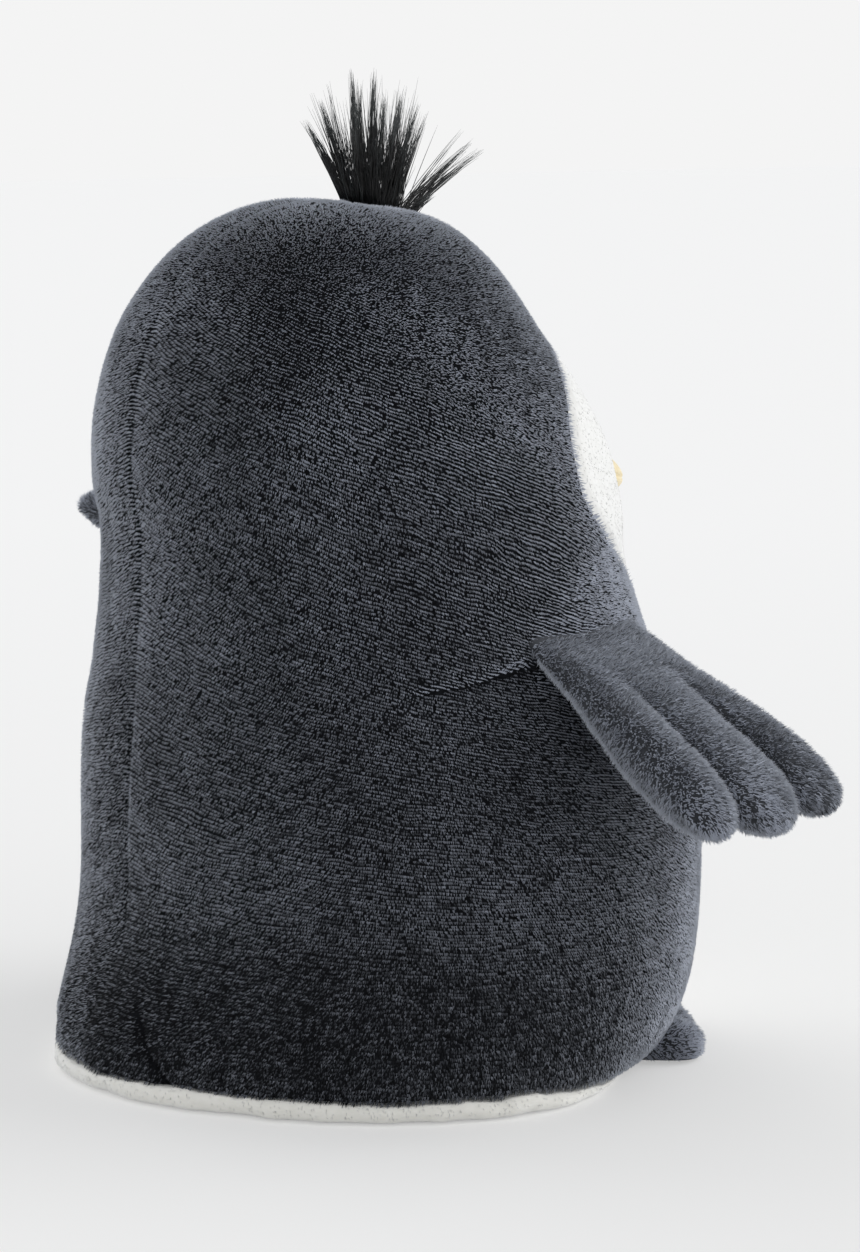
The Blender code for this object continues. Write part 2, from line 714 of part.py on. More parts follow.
def hinge_matrix(turn, height, gap):
    """A hinge outside the body's wall: local X along the wall, Y out of it, Z up."""
    wall = body_point(turn, height)
    way = outward(turn, height)
    way = Vector((way.x, way.y, 0)).normalized()
    axes = Matrix((way.cross(UP), way, UP)).transposed().to_4x4()
    return Matrix.Translation(wall + way * gap) @ axes


def wall_behind(matrix, gap):
    """How far behind a hinge line the limb's root lies, at each local x, to keep its gap to the wall."""
    way = matrix.to_3x3() @ Vector((0, 1, 0))

    def behind(x):
        start = matrix @ Vector((x, -BASE_WIDTH / 4, 0))
        return (matrix.inverted() @ surface_hit(start, way)).y + gap
    return behind


def straight_root(x):
    """A root that lies on its hinge line all along."""
    return 0.0


def flipper(side, sign, raise_angle, sweep):
    """Two panels and their filling. The root reaches a heel's length behind the hinge, close to the wall."""
    rim = LIMB_SKIN + PIECE_CLEARANCE / 2
    heel = rim
    gap = math.hypot(heel, rim) + SEAM_CLEARANCE
    matrix = hinge_matrix(sign * math.radians(FLIPPER_TURN), FLIPPER_HEIGHT, gap)
    limb = Limb(length=FLIPPER_LENGTH, end=FLIPPER_LENGTH, root_width=FLIPPER_ROOT_WIDTH,
                tip_width=FLIPPER_TIP_WIDTH, thickness=FLIPPER_THICKNESS / 2, rim=rim, inset=0.0,
                lobe=FLIPPER_TIP_WIDTH / FINGERS / 2, bend=sweep / FLIPPER_LENGTH ** 2,
                swell=FLIPPER_SWELL, steps=FLIPPER_STEPS, wall=wall_behind(matrix, gap - heel))
    raised = Matrix.Rotation(math.radians(raise_angle), 4, "X")
    pivot = hinge_empty("flipper_%s_hinge" % side, matrix @ raised)
    cloth("flipper_%s_upper" % side, limb_sheet(limb), pivot)
    cloth("flipper_%s_lower" % side, mirrored(limb_sheet(limb)), pivot)
    add("flipper_%s_stuffing" % side, filling_form(limb, flat=False), STUFFING, pivot)


def foot(side, sign, near_body):
    """A flat sole with a domed upper on it, both cut clear of the belly above."""
    matrix = hinge_matrix(sign * math.radians(FOOT_TURN), FOOT_LIFT, PIECE_CLEARANCE)
    pivot = hinge_empty("foot_%s_hinge" % side, matrix)
    limb = Limb(length=FOOT_LENGTH, end=FOOT_LENGTH, root_width=FOOT_ROOT_WIDTH, tip_width=FOOT_TIP_WIDTH,
                thickness=FOOT_THICKNESS - LIMB_SKIN, rim=LIMB_SKIN + PIECE_CLEARANCE, inset=0.0,
                lobe=FOOT_TIP_WIDTH / FINGERS / 2, bend=0.0, swell=FOOT_SWELL, steps=FOOT_STEPS,
                wall=straight_root)
    sole = limb_sheet(limb)
    for vert in sole.verts:
        vert.co.z = LIMB_SKIN
    upper = limb_sheet(limb)
    bmesh.ops.translate(upper, verts=upper.verts, vec=(0, 0, LIMB_SKIN))
    filling = filling_form(limb, flat=True)
    bmesh.ops.translate(filling, verts=filling.verts, vec=(0, 0, LIMB_SKIN + PIECE_CLEARANCE))
    pieces = [cloth("foot_%s_sole" % side, sole, pivot), cloth("foot_%s_upper" % side, upper, pivot),
              add("foot_%s_stuffing" % side, filling, STUFFING, pivot)]
    for piece in pieces:
        boolean(piece, "DIFFERENCE", near_body)


def main():
    panels = body_panels()
    near_body = cutter("body_clearance", body_form(-PIECE_CLEARANCE))
    pockets = eyes(panels["face"])
    beak(near_body)
    pockets.append(tuft(panels))
    fill_body(pockets)
    seam_threads()
    flipper("left", 1, FLIPPER_RAISE_LEFT, -FLIPPER_SWEEP_LEFT)
    flipper("right", -1, FLIPPER_RAISE_RIGHT, 0.0)
    foot("left", 1, near_body)
    foot("right", -1, near_body)


main()
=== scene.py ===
"""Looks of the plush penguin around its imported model: skins, pile, hair, beak and eyes. Metres, +Z up."""

import json
from math import cos, pi, radians, sin

import bmesh
import bpy
import numpy as np
from mathutils import Matrix, Vector


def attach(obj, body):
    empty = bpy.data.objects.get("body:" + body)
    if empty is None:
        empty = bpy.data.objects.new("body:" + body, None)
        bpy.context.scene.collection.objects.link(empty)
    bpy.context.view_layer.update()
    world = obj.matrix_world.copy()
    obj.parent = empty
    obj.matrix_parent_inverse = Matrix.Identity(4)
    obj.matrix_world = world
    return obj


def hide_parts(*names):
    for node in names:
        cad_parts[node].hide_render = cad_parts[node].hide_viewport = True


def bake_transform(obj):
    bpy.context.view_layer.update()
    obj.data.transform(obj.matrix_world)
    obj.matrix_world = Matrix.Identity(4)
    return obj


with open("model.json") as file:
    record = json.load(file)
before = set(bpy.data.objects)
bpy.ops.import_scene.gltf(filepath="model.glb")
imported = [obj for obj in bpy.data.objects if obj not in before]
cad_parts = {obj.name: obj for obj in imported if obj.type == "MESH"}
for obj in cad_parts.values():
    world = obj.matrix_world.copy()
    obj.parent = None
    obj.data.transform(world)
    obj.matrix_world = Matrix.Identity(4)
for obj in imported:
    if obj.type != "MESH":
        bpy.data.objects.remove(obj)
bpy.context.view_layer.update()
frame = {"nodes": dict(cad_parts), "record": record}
SCENE = bpy.context.scene
JOINTS = {joint["name"]: joint for joint in frame["record"]["behaviour"]["joints"]}

# Body sections as in the part, from the crown down to the flat base, which is a little fuller here
CROWN_HEIGHT = 0.200
CROWN_SETBACK = 0.0091
CROWN_LEAN = 0.7
CROWN_EASING = 0.06
HEAD_HEIGHT = 0.126
HEAD = np.array((0.0688, 0.0578, 0.0034))
BELLY_HEIGHT = 0.053
BELLY = np.array((0.0833, 0.0699, 0.0108))
BASE = np.array((0.0660, 0.0645, -0.0006))
BASE_ROUNDNESS = 2.43
TAIL_REACH = 0.010
TAIL_HEIGHT = 0.010
TAIL_RISE = 0.016
TAIL_SHARPNESS = 6
BASE_SEAM_HEIGHT = 0.0046
BODY_RADIUS = 0.0833

# Face and belly patches: height, half width, rise, drop, plane and the power of their lower outline
FACE = (0.136, 0.062, 0.029, 0.0215, 0.026, 1.5)
BELLY_PATCH = (0.044, 0.037, 0.046, 0.060, 0.068, 2.0)
PATCH_BACK = 0.030


# Small helpers on arrays
def unit(vectors):
    return vectors / np.maximum(np.linalg.norm(vectors, axis=-1, keepdims=True), 1e-12)


def lerp(low, high, share):
    return low + (high - low) * share


def ease(share):
    share = np.clip(share, 0, 1)
    return share * share * (3 - 2 * share)


def rising(value, start, span):
    """From 0 at a start to 1 a span past it."""
    return ease((value - start) / span)


def falling(value, end, span):
    """From 1 a span before an end to 0 at it."""
    return ease((end - value) / span)


def bump(value, middle, width):
    """A soft bump that is 1 at its middle."""
    return np.exp(-((value - middle) / width) ** 2)


def noise(x, y, seed, size=512):
    """Smooth noise from -1 to 1, with features about one unit wide."""
    grid = np.random.default_rng(seed).uniform(-1, 1, (size, size))
    column, row = np.floor(x).astype(int), np.floor(y).astype(int)
    right, above = ease(x - column), ease(y - row)
    column, row = column % size, row % size
    east, north = (column + 1) % size, (row + 1) % size
    low = lerp(grid[column, row], grid[east, row], right)
    high = lerp(grid[column, north], grid[east, north], right)
    return lerp(low, high, above)


def turns(count):
    return np.linspace(0, 2 * pi, count, endpoint=False)


def layered(x, y, layers, start=0, seeds=0, shift=0):
    """Noises added to a start, each by its strength, width, height and seed."""
    return sum((strength * noise(x / width + shift, y / height, seeds + seed)
                for strength, width, height, seed in layers), start)


# Surface of the body, by the turn from its front and the length along its profile
def ring(height):
    """Half width, half depth and forward shift of the body."""
    height = np.clip(np.asarray(height, float), 0, CROWN_HEIGHT)[..., None]
    rise = np.clip((height - HEAD_HEIGHT) / (CROWN_HEIGHT - HEAD_HEIGHT), 0, 1)
    shrink = np.sqrt(1 - rise * rise)
    leaning = (1 + CROWN_EASING) * rise * rise / (rise + CROWN_EASING)
    forward = lerp(HEAD[2], -CROWN_SETBACK, leaning ** CROWN_LEAN)
    dome = np.concatenate([HEAD[:2] * shrink, forward], axis=-1)
    chest = lerp(BELLY, HEAD, rising(height, BELLY_HEIGHT, HEAD_HEIGHT - BELLY_HEIGHT))
    drop = np.clip(1 - height / BELLY_HEIGHT, 0, 1)
    foot = lerp(BASE, BELLY, (1 - drop ** BASE_ROUNDNESS) ** (1 / BASE_ROUNDNESS))
    return np.where(height >= HEAD_HEIGHT, dome, np.where(height >= BELLY_HEIGHT, chest, foot))


def body_points(turn, height):
    section = ring(height)
    height = np.clip(height, 0, CROWN_HEIGHT)
    tail = TAIL_REACH * bump(height, TAIL_HEIGHT, TAIL_RISE)
    tail = tail * np.maximum(0, -np.cos(turn)) ** TAIL_SHARPNESS
    return np.stack([section[..., 0] * np.sin(turn),
                     tail - section[..., 2] - section[..., 1] * np.cos(turn),
                     height + 0 * turn], axis=-1)


def profile_table(steps=600):
    """Lengths along the body's profile, and their heights."""
    share = np.linspace(0, 1, steps)
    low = BELLY_HEIGHT * (1 - np.cos(share * pi / 2) ** (2 / BASE_ROUNDNESS))
    middle = lerp(BELLY_HEIGHT, HEAD_HEIGHT, share)
    high = lerp(HEAD_HEIGHT, CROWN_HEIGHT, np.sin(share * pi / 2))
    heights = np.unique(np.concatenate([low, middle, high]))
    radius = ring(heights)[:, :2].mean(axis=1)
    lengths = np.cumsum(np.hypot(np.diff(heights), np.diff(radius)))
    return np.concatenate([[0], lengths]), heights


PROFILE, PROFILE_HEIGHTS = profile_table()
PROFILE_LENGTH = PROFILE[-1]
SEAM_LENGTH = float(np.interp(BASE_SEAM_HEIGHT, PROFILE_HEIGHTS, PROFILE))


def seam_at(turn):
    """Where the base seam runs along the profile, lower at the front."""
    back = SEAM_LENGTH + (0.0006 * noise(turn * 9, 0 * turn, 14) + 0.0003 * noise(turn * 31, 0 * turn, 15))
    return lerp(0.0012, back, falling(np.cos(turn), 0.75, 0.75))


def height_at(length):
    return np.interp(length, PROFILE, PROFILE_HEIGHTS)


def body_frame(turn, length, step=0.0002, spin=0.001):
    """Points of the body, and their ways out, up and sideways."""
    height = height_at(length)
    above = body_points(turn, height_at(length + step))
    up = unit(above - body_points(turn, height_at(length - step)))
    side = unit(body_points(turn + spin, height) - body_points(turn - spin, height))
    return body_points(turn, height), unit(np.cross(side, up)), up, side


def inside_body(points):
    section = ring(points[..., 2])
    across = (points[..., 0] / np.maximum(section[..., 0], 1e-6)) ** 2
    along = ((points[..., 1] + section[..., 2]) / np.maximum(section[..., 1], 1e-6)) ** 2
    return (across + along < 1) & (points[..., 2] < CROWN_HEIGHT) & (points[..., 2] > 0)


def leave_body(start, way, near, far, rounds=40):
    """How far each way from its start leaves the body."""
    low = np.full(len(start), near)
    high = np.full(len(start), far)
    for _ in range(rounds):
        middle = (low + high) / 2
        within = inside_body(start + way * middle[:, None])
        low = np.where(within, middle, low)
        high = np.where(within, high, middle)
    return low


def patch_value(patch, points):
    """Less than one inside a patch's outline, and one on it."""
    height, half_width, rise, drop, plane, low_power = patch
    way = points - np.array((0, PATCH_BACK, height))
    scale = (plane + PATCH_BACK) / np.maximum(-way[..., 1], 1e-4)
    across = np.abs(way[..., 0] * scale) / half_width
    along = way[..., 2] * scale
    upper = across ** 2 + (np.abs(along) / rise) ** 2
    lower = (across ** low_power + (np.abs(along) / drop) ** low_power) ** (2 / low_power)
    value = np.sqrt(np.where(along >= 0, upper, lower))
    return np.where(way[..., 1] > -0.01, 9.0, value)


def patch_grid(patch, rounds=180, steps=40):
    """Points of a patch, in rings from its middle to its outline."""
    height, half_width, rise, drop, plane, low_power = patch
    angle = turns(rounds)
    across, along = np.cos(angle), np.sin(angle)
    power = 2 / np.where(along >= 0, 2.0, low_power)
    side = np.sign(across) * np.abs(across) ** power * half_width
    up = np.sign(along) * np.abs(along) ** power * np.where(along >= 0, rise, drop)
    share = np.linspace(1 / steps, 1, steps)[:, None]
    ahead = np.full((steps, rounds), -plane - PATCH_BACK)
    way = np.stack([share * side, ahead, share * up], axis=-1).reshape(-1, 3)
    start = np.tile(np.array((0, PATCH_BACK, height)), (len(way), 1))
    points = start + way * leave_body(start, way, 0.3, 3.0)[:, None]
    return points.reshape(steps, rounds, 3), share


def outward_of(points):
    section = ring(points[..., 2])
    ahead = -(points[..., 1] + section[..., 2]) / section[..., 1]
    turn = np.arctan2(points[..., 0] / section[..., 0], ahead)
    length = np.interp(points[..., 2], PROFILE_HEIGHTS, PROFILE)
    return body_frame(turn, length)[1]


# Creases and seams pressed into the skin, from start to end on the toy's right side, and the eyes' height
FLIPPER_DART = ((-0.0729, -0.0046, 0.1004), (-0.0643, 0.0253, 0.0944))
BASE_DART = ((-0.0278, 0.0, 0.0050), (-0.0135, 0.0, 0.0235))
HEAD_CREASE = ((-0.0606, 0.0058, 0.1609), (-0.0665, 0.0091, 0.1417))
CENTRE_SEAM_FRONT = -0.03
EYE_HEIGHT = 0.147


def segment_distance(points, start, end):
    """Distance to a straight crease, and the share of its length there."""
    start, end = np.array(start), np.array(end)
    span = end - start
    share = np.clip(((points - start) @ span) / (span @ span), 0, 1)
    return np.linalg.norm(points - start - share[..., None] * span, axis=-1), share


def folded(points):
    """Points with the toy's left side laid over its right side."""
    return points * np.array((0, 1, 1)) - np.abs(points[..., :1]) * np.array((1, 0, 0))


def flipper_dart(points):
    """Distance to the dart behind the flipper, its share, and 1 above or -1 below."""
    right = folded(points)
    gap, along = segment_distance(right, *FLIPPER_DART)
    return gap, along, np.sign(right[..., 2] - lerp(FLIPPER_DART[0][2], FLIPPER_DART[1][2], along))


def base_dart(points):
    """Distance to the dart at the back of the base, and its share."""
    gap, rise = segment_distance(folded(points) * np.array((1, 0, 1)), *BASE_DART)
    return np.where(points[..., 1] > 0.02, gap, 1.0), rise


def seam_share(points):
    """Nearness to a sewn line, up to 1 on it."""
    centre = 0.5 * bump(points[..., 0], 0, 0.0009) * (points[..., 1] > CENTRE_SEAM_FRONT)
    gap, along, _ = flipper_dart(points)
    dart = 0.6 * bump(gap, 0, 0.0011) * ease((1 - along) * 4)
    gap, rise = base_dart(points)
    return np.maximum(centre, np.maximum(dart, bump(gap, 0, 0.0006) * ease((1 - rise) * 3)))


def dart_lip(points):
    """The flipper dart's raised lip, to be painted lighter as a highlight, and the line under it, to be
    painted darker as its shadow.
    """
    gap, along, above = flipper_dart(points)
    fade = ease((1 - along) * 3) * ease(along * 6 + 0.3)
    return fade * bump(gap * above, 0.0013, 0.0011), fade * bump(gap * above, -0.0006, 0.0008)


def relief(points):
    """How far the stuffed cloth stands out, with its seams and creases."""
    x, y, z = (points[..., axis] for axis in range(3))
    brow = 0.0034 * rising(z, 0.168, 0.024) * falling(y, 0.002, 0.022)
    around = np.arctan2(x, -y) * 0.075
    lumps = layered(around, z, ((0.0005, 0.030, 0.026, 11),), shift=7)
    lumps = layered(around, z, ((0.00022, 0.011, 0.010, 12),), lumps)
    hollow = (y > CENTRE_SEAM_FRONT) * bump(x, 0, 0.0065) * 0.0006
    dart, along, above = flipper_dart(points)
    fold = ease((1 - along) * 2.5) * (0.0010 * above * bump(dart, 0.0022, 0.0026))
    low, rise = base_dart(points)
    tuck = 0.0006 * bump(low, 0, 0.0034) + 0.0010 * bump(low, 0, 0.0008)
    tuck = tuck * ease((1 - rise) * 2.5)
    crease, middle = segment_distance(folded(points), *HEAD_CREASE)
    dent = 0.0011 * bump(crease, 0, 0.0042) * np.sin(pi * np.clip(middle, 0.1, 0.9))
    return lumps + brow - hollow + fold - tuck - dent - 0.0009 * seam_share(points)


def cheeks(points):
    """How far the face stands out beside the beak, with a dimple at each eye."""
    beside, height = np.abs(points[..., 0]), points[..., 2]
    cheek = 0.0024 * bump(beside, 0.034, 0.015) * bump(height, 0.140, 0.017)
    dimple = bump(beside, 0.0205, 0.006) * bump(height, EYE_HEIGHT, 0.006)
    return cheek - 0.0007 * dimple


# Meshes from arrays
def placed(name, data):
    item = bpy.data.objects.new(name, data)
    SCENE.collection.objects.link(item)
    return item


def mesh_object(name, points, faces):
    """A smooth mesh from points and one array of faces for each count of corners."""
    mesh = bpy.data.meshes.new(name)
    corners = np.concatenate([group.ravel() for group in faces]).astype(np.int32)
    sizes = np.concatenate([np.full(len(group), group.shape[1]) for group in faces])
    starts = np.concatenate([[0], np.cumsum(sizes)[:-1]]).astype(np.int32)
    mesh.vertices.add(len(points))
    mesh.vertices.foreach_set("co", np.asarray(points, np.float32).ravel())
    mesh.loops.add(len(corners))
    mesh.loops.foreach_set("vertex_index", corners)
    mesh.polygons.add(len(sizes))
    mesh.polygons.foreach_set("loop_start", starts)
    mesh.update(calc_edges=True)
    mesh.validate()
    mesh.shade_smooth()
    return placed(name, mesh)


def lofted(name, rings, raised=0):
    """A closed mesh through rings, with a pole at the middle of each end, the last one raised."""
    count, sides = rings.shape[:2]
    here = np.arange(sides)
    there = np.roll(here, -1)
    base = (np.arange(count - 1) * sides)[:, None]
    quads = np.stack([base + here, base + there, base + sides + there, base + sides + here], axis=-1)
    poles = count * sides
    top = (count - 1) * sides
    under = np.stack([np.full(sides, poles), there, here], axis=-1)
    over = np.stack([top + here, top + there, np.full(sides, poles + 1)], axis=-1)
    ends = [rings[0].mean(axis=0), rings[-1].mean(axis=0) + raised]
    points = np.concatenate([rings.reshape(-1, 3), ends])
    return mesh_object(name, points, [quads.reshape(-1, 4), np.concatenate([under, over])])


def read(items, key, width=1, kind=np.float32):
    """One row of values for each item of a mesh."""
    values = np.empty(len(items) * width, kind)
    items.foreach_get(key, values)
    return values.reshape(-1, width)


def finish_with(item, *materials):
    for entry in materials:
        item.data.materials.append(entry)
    return item


# Materials
MATT = (0.75, 0.95)


def add(nodes, kind, values=(), operation=None):
    """A new shader node with values on its sockets."""
    made = nodes.new("ShaderNode" + kind)
    if operation:
        made.operation = operation
    for socket, value in dict(values).items():
        made.inputs[socket].default_value = value
    return made


def new_material(name, colour, roughness, sheen, specular):
    """A material with constants on its shader, its nodes, links and shader."""
    entry = bpy.data.materials.new(name)
    entry.use_nodes = True
    shader = entry.node_tree.nodes["Principled BSDF"]
    values = {"Base Color": (*colour, 1), "Roughness": roughness, "Specular IOR Level": specular,
              "Sheen Weight": sheen, "Sheen Roughness": 0.66, "Sheen Tint": (0.84, 0.89, 1.0, 1)}
    for socket, value in values.items():
        shader.inputs[socket].default_value = value
    return entry, entry.node_tree.nodes, entry.node_tree.links, shader


def grained(name, shades, rough, scale, depth, sheen=0.0, specular=0.5):
    """A material with fine noise in roughness, height and between two shades."""
    colour = [sum(parts) / len(shades) for parts in zip(*shades)]
    entry, nodes, links, shader = new_material(name, colour, sum(rough) / 2, sheen, specular)
    fine = add(nodes, "TexNoise", {"Scale": scale, "Detail": 4})
    links.new(add(nodes, "TexCoord").outputs["Object"], fine.inputs["Vector"])
    span = add(nodes, "MapRange", {"To Min": rough[0], "To Max": rough[1]})
    links.new(fine.outputs["Fac"], span.inputs["Value"])
    links.new(span.outputs["Result"], shader.inputs["Roughness"])
    raised = add(nodes, "Bump", {"Strength": 0.5, "Distance": depth})
    links.new(fine.outputs["Fac"], raised.inputs["Height"])
    links.new(raised.outputs["Normal"], shader.inputs["Normal"])
    if len(shades) > 1:
        ramp = add(nodes, "ValToRGB")
        for element, place, shade in zip(ramp.color_ramp.elements, (0.35, 0.65), shades):
            element.position = place
            element.color = (*shade, 1)
        links.new(fine.outputs["Fac"], ramp.inputs["Fac"])
        links.new(ramp.outputs["Color"], shader.inputs["Base Color"])
    return entry


def tones(name, shades, hue, rough, sheens):
    """One fibre material for each shade, from dark to light."""
    made = []
    for number, (shade, sheen) in enumerate(zip(shades, sheens)):
        colour = tuple(shade * part for part in hue)
        made.append(grained(f"{name}_{number + 1}", (colour,), rough, scale=900, depth=0.00005,
                            sheen=sheen, specular=0.05))
    return made


CHARCOAL_HUE = (0.90, 0.965, 1.15)
CHARCOAL = tones("charcoal_pile", (0.002, 0.009, 0.032, 0.080, 0.165, 0.290), CHARCOAL_HUE, (0.58, 0.82),
                 (0.02, 0.06, 0.35, 1.0, 1.0, 1.0))
CREAM_HUE = (1.0, 0.99, 0.95)
CREAM = tones("cream_pile", (0.86, 0.88, 0.90, 0.92), CREAM_HUE, (0.63, 0.87), (0.3, 0.3, 0.3, 0.3))
CHARCOAL_CLOTH, LIMB_CLOTH, CREAM_CLOTH, BASE_CLOTH, FELT = (
    grained(name, shades, MATT, scale, depth, sheen, specular)
    for name, shades, scale, depth, sheen, specular in (
        ("charcoal_cloth", ((0.003, 0.0033, 0.004), (0.009, 0.0098, 0.012)), 700, 0.0003, 0.0, 0.05),
        # limb_cloth is lighter than charcoal_cloth, as painted light on the limbs.
        ("limb_cloth", ((0.006, 0.0065, 0.0075), (0.020, 0.021, 0.024)), 700, 0.0003, 0.3, 0.1),
        ("cream_cloth", ((0.85, 0.84, 0.80), (0.91, 0.90, 0.87)), 800, 0.0001, 0.3, 0.2),
        # base_cloth is lighter than cream_cloth as painted light; its warmer hue is the cloth's own.
        ("base_cloth", ((0.94, 0.92, 0.85), (0.98, 0.96, 0.90)), 600, 0.0001, 0.5, 0.2),
        ("beak_felt", ((0.85, 0.70, 0.40), (0.93, 0.81, 0.54)), 1100, 0.0002, 0.3, 0.2)))
HAIR_SHADES = ((0.006, 0.0065, 0.007), (0.014, 0.015, 0.016), (0.038, 0.045, 0.046))
HAIR = [grained(f"hair_{number + 1}", (shade,), (0.3, 0.46), scale=400, depth=0.00002)
        for number, shade in enumerate(HAIR_SHADES)]
EYE = grained("eye_black", ((0.006, 0.006, 0.007),), (0.05, 0.12), scale=300, depth=0.00001)
WASHER = grained("washer_moulded", ((0.72, 0.72, 0.70),), (0.38, 0.52), scale=500, depth=0.00002)


# Fibres of pile: how densely they stand on the body, and the wavy ridges that they lie in
PILE_DEPTH = 0.0007
ROW_STEP = 0.00068
BLADE_STEP = 0.00038
BLADE_LENGTH = 0.00072
BLADE_WIDTH = 0.00017
BLADE_FLATNESS = 0.3
GATHERED = 0.85
RIDGE_PITCH = 0.00095
STITCH_STEP = 0.0026
PILE_BANDS = (0.040, 0.085, 0.130)
BASE_FRINGE_START = 0.0004
CHEST_NAP_BACK = -0.0054
CHEST_NAP_HEIGHT = 0.1046
CHEST_NAP_RISE = 0.1125

# Spots of painted highlight, where the pile also lies flatter, by place, radius and strength
PAINTED_HIGHLIGHT_SPOTS = (((-0.054, 0.031, 0.154), 0.016, 1.6), ((-0.018, 0.0535, 0.103), 0.018, 1.0),
                 ((-0.066, 0.003, 0.150), 0.010, 1.6), ((-0.0606, -0.0561, 0.0261), 0.026, 2.6))


def blades(name, root, normal, comb, length, width, lean, light, materials, flatness=BLADE_FLATNESS):
    """Cut fibres as one mesh of leaning spikes with three sides."""
    side = unit(np.cross(normal, comb)) * width[:, None]
    way = normal * np.cos(lean)[:, None] + comb * np.sin(lean)[:, None]
    over = normal * np.sin(lean)[:, None] - comb * np.cos(lean)[:, None]
    corners = [root + side, root - side, root - over * width[:, None], root + way * length[:, None]]
    points = np.stack(corners, axis=1).reshape(-1, 3)
    first = (np.arange(len(root)) * len(corners))[:, None, None]
    faces = first + np.array(((0, 1, 3), (1, 2, 3), (2, 0, 3)))
    item = mesh_object(name, points, [faces.reshape(-1, 3)])
    tone = np.clip(np.round(light), 0, len(materials) - 1)
    item.data.polygons.foreach_set("material_index", np.repeat(tone, 3).astype(np.int32))
    if flatness < 1:
        soft = np.repeat(unit(lerp(normal, over, flatness)), len(corners), axis=0)
        item.data.normals_split_custom_set_from_vertices(soft.astype(np.float32))
    return finish_with(item, *materials)


def turned_comb(normal, comb, angle):
    """The combing direction turned about the outward one."""
    return unit(comb * np.cos(angle)[:, None] + np.cross(normal, comb) * np.sin(angle)[:, None])


def ridge_phase(u, length):
    """Number of the wavy ridge at a point, whole on its crest."""
    slope = 0.30 * rising(length, 0.020, 0.100)
    across = length + slope * (np.sqrt(u * u + 0.004 ** 2) - 0.004)
    across = layered(u, length, ((0.0006, 0.012, 0.009, 21), (0.0003, 0.0045, 0.004, 22)), across)
    return layered(u, across, ((0.24, 0.0036, 0.0014, 23),), across / RIDGE_PITCH)


def low_ridges(length):
    """Share of the ridges that is left near the base."""
    return lerp(0.30, 1, rising(length, 0.020, 0.045))


def ridge_share(u, length):
    """One where the pile lies in ridges, 0 where it is plain fuzz."""
    crown = rising(length, 0.178, 0.030)
    start = lerp(1.65, 1.05, rising(length, 0.135, 0.045))
    front = rising(np.abs(u) / BODY_RADIUS, start, 0.45)
    beside_seam = rising(-u, 0, 0.004) * (1 - rising(-u, 0.032, 0.020))
    return (1 - crown) * (1 - front) * (1 - 0.75 * beside_seam) * low_ridges(length)


def chest_nap(points):
    """One where the nap of the chest is brushed up, and where a painted sheen makes its pile lighter."""
    right = folded(points)
    depth = np.maximum(0, CHEST_NAP_BACK - right[..., 1])
    edge = CHEST_NAP_HEIGHT + CHEST_NAP_RISE * np.sqrt(depth)
    upper = ease((edge - right[..., 2]) / 0.003 + 0.5)
    return upper * rising(right[..., 2], 0.088, 0.012) * (depth > 0)


def body_pile_roots():
    """Evenly spread roots of the body's pile, as turns and lengths."""
    random = np.random.default_rng(41)
    lowest, highest = 0.0005, PROFILE_LENGTH - 0.0006
    rows = np.arange(int(PROFILE_LENGTH / ROW_STEP))
    columns = int(2 * pi * BODY_RADIUS / BLADE_STEP)
    row = np.repeat(rows, columns) + random.uniform(-0.5, 0.5, len(rows) * columns)
    spot = np.tile(np.arange(columns), len(rows)) + random.uniform(-0.5, 0.5, len(rows) * columns)
    length = row * ROW_STEP
    around = (spot / columns - 0.5) * 2 * pi
    radius = ring(height_at(length))[:, :2].mean(axis=1) / BODY_RADIUS
    keep = (random.uniform(0, 1, len(row)) < radius) & (length < highest) & (length > lowest)
    around, length = around[keep], length[keep]
    u = around * BODY_RADIUS
    phase = ridge_phase(u, length)
    gathered = GATHERED * ridge_share(u, length)
    length = length - (phase - np.round(phase)) * RIDGE_PITCH * gathered
    return around + pi, np.clip(length, lowest, highest)


def pile_rise(u, length, nap):
    """Rise and fall of the pile, in broken ridges or fuzz, which as a tone also paints highlights on the
    crests and shade in the valleys.
    """
    phase = ridge_phase(u, length)
    row = np.round(phase)
    dashes = noise(u / 0.0020, row * 7.31, 31) + 0.5 * noise(u / 0.0006, row * 5.7, 32)
    fuzz = layered(u, length, ((0.65, 0.0011, 0.0011, 37), (0.75, 0.0005, 0.0005, 38)))
    streaked = layered(u + 0.5 * length * np.sign(u), length, ((1.1, 0.0008, 0.0021, 39),), 0.6 * fuzz)
    fuzz = lerp(fuzz, streaked, nap)
    crest = 1.05 * np.cos(2 * pi * phase) + 0.62 * dashes - 0.25
    ridged = ridge_share(u, length) * (1 - nap)
    return ridged * crest + (1 - ridged) * (0.9 * fuzz + 0.4)


# Random lighter and darker patches of pile, plus the spots of painted highlight; both also change how flat
# the pile lies.
def patch_and_highlight_tone(u, length, point):
    patches_and_highlights = layered(u, length, ((0.6, 0.024, 0.030, 33), (0.3, 0.009, 0.012, 34)))
    for spot, radius, gain in PAINTED_HIGHLIGHT_SPOTS:
        away = np.sum((folded(point) - np.array(spot)) ** 2, axis=1)
        patches_and_highlights = patches_and_highlights + gain * np.exp(-away / radius ** 2)
    return patches_and_highlights


def fringed(comb, point, normal, up, side, outlines):
    """The combing turned inwards near the pale panels, and the fringe there."""
    fringe = np.zeros(len(point))
    for patch, value in outlines:
        across, along = (patch_value(patch, point + way * 0.001)
                         - patch_value(patch, point - way * 0.001) for way in (side, up))
        inward = unit(-(side * across[:, None] + up * along[:, None]))
        near = 0.75 * ease(1 - (value - 1) / 0.12)
        comb = unit(lerp(comb, inward, near[:, None]))
        fringe = np.maximum(fringe, ease(1 - (value - 1) / 0.035))
    return unit(comb - normal * np.sum(comb * normal, axis=1)[:, None]), fringe


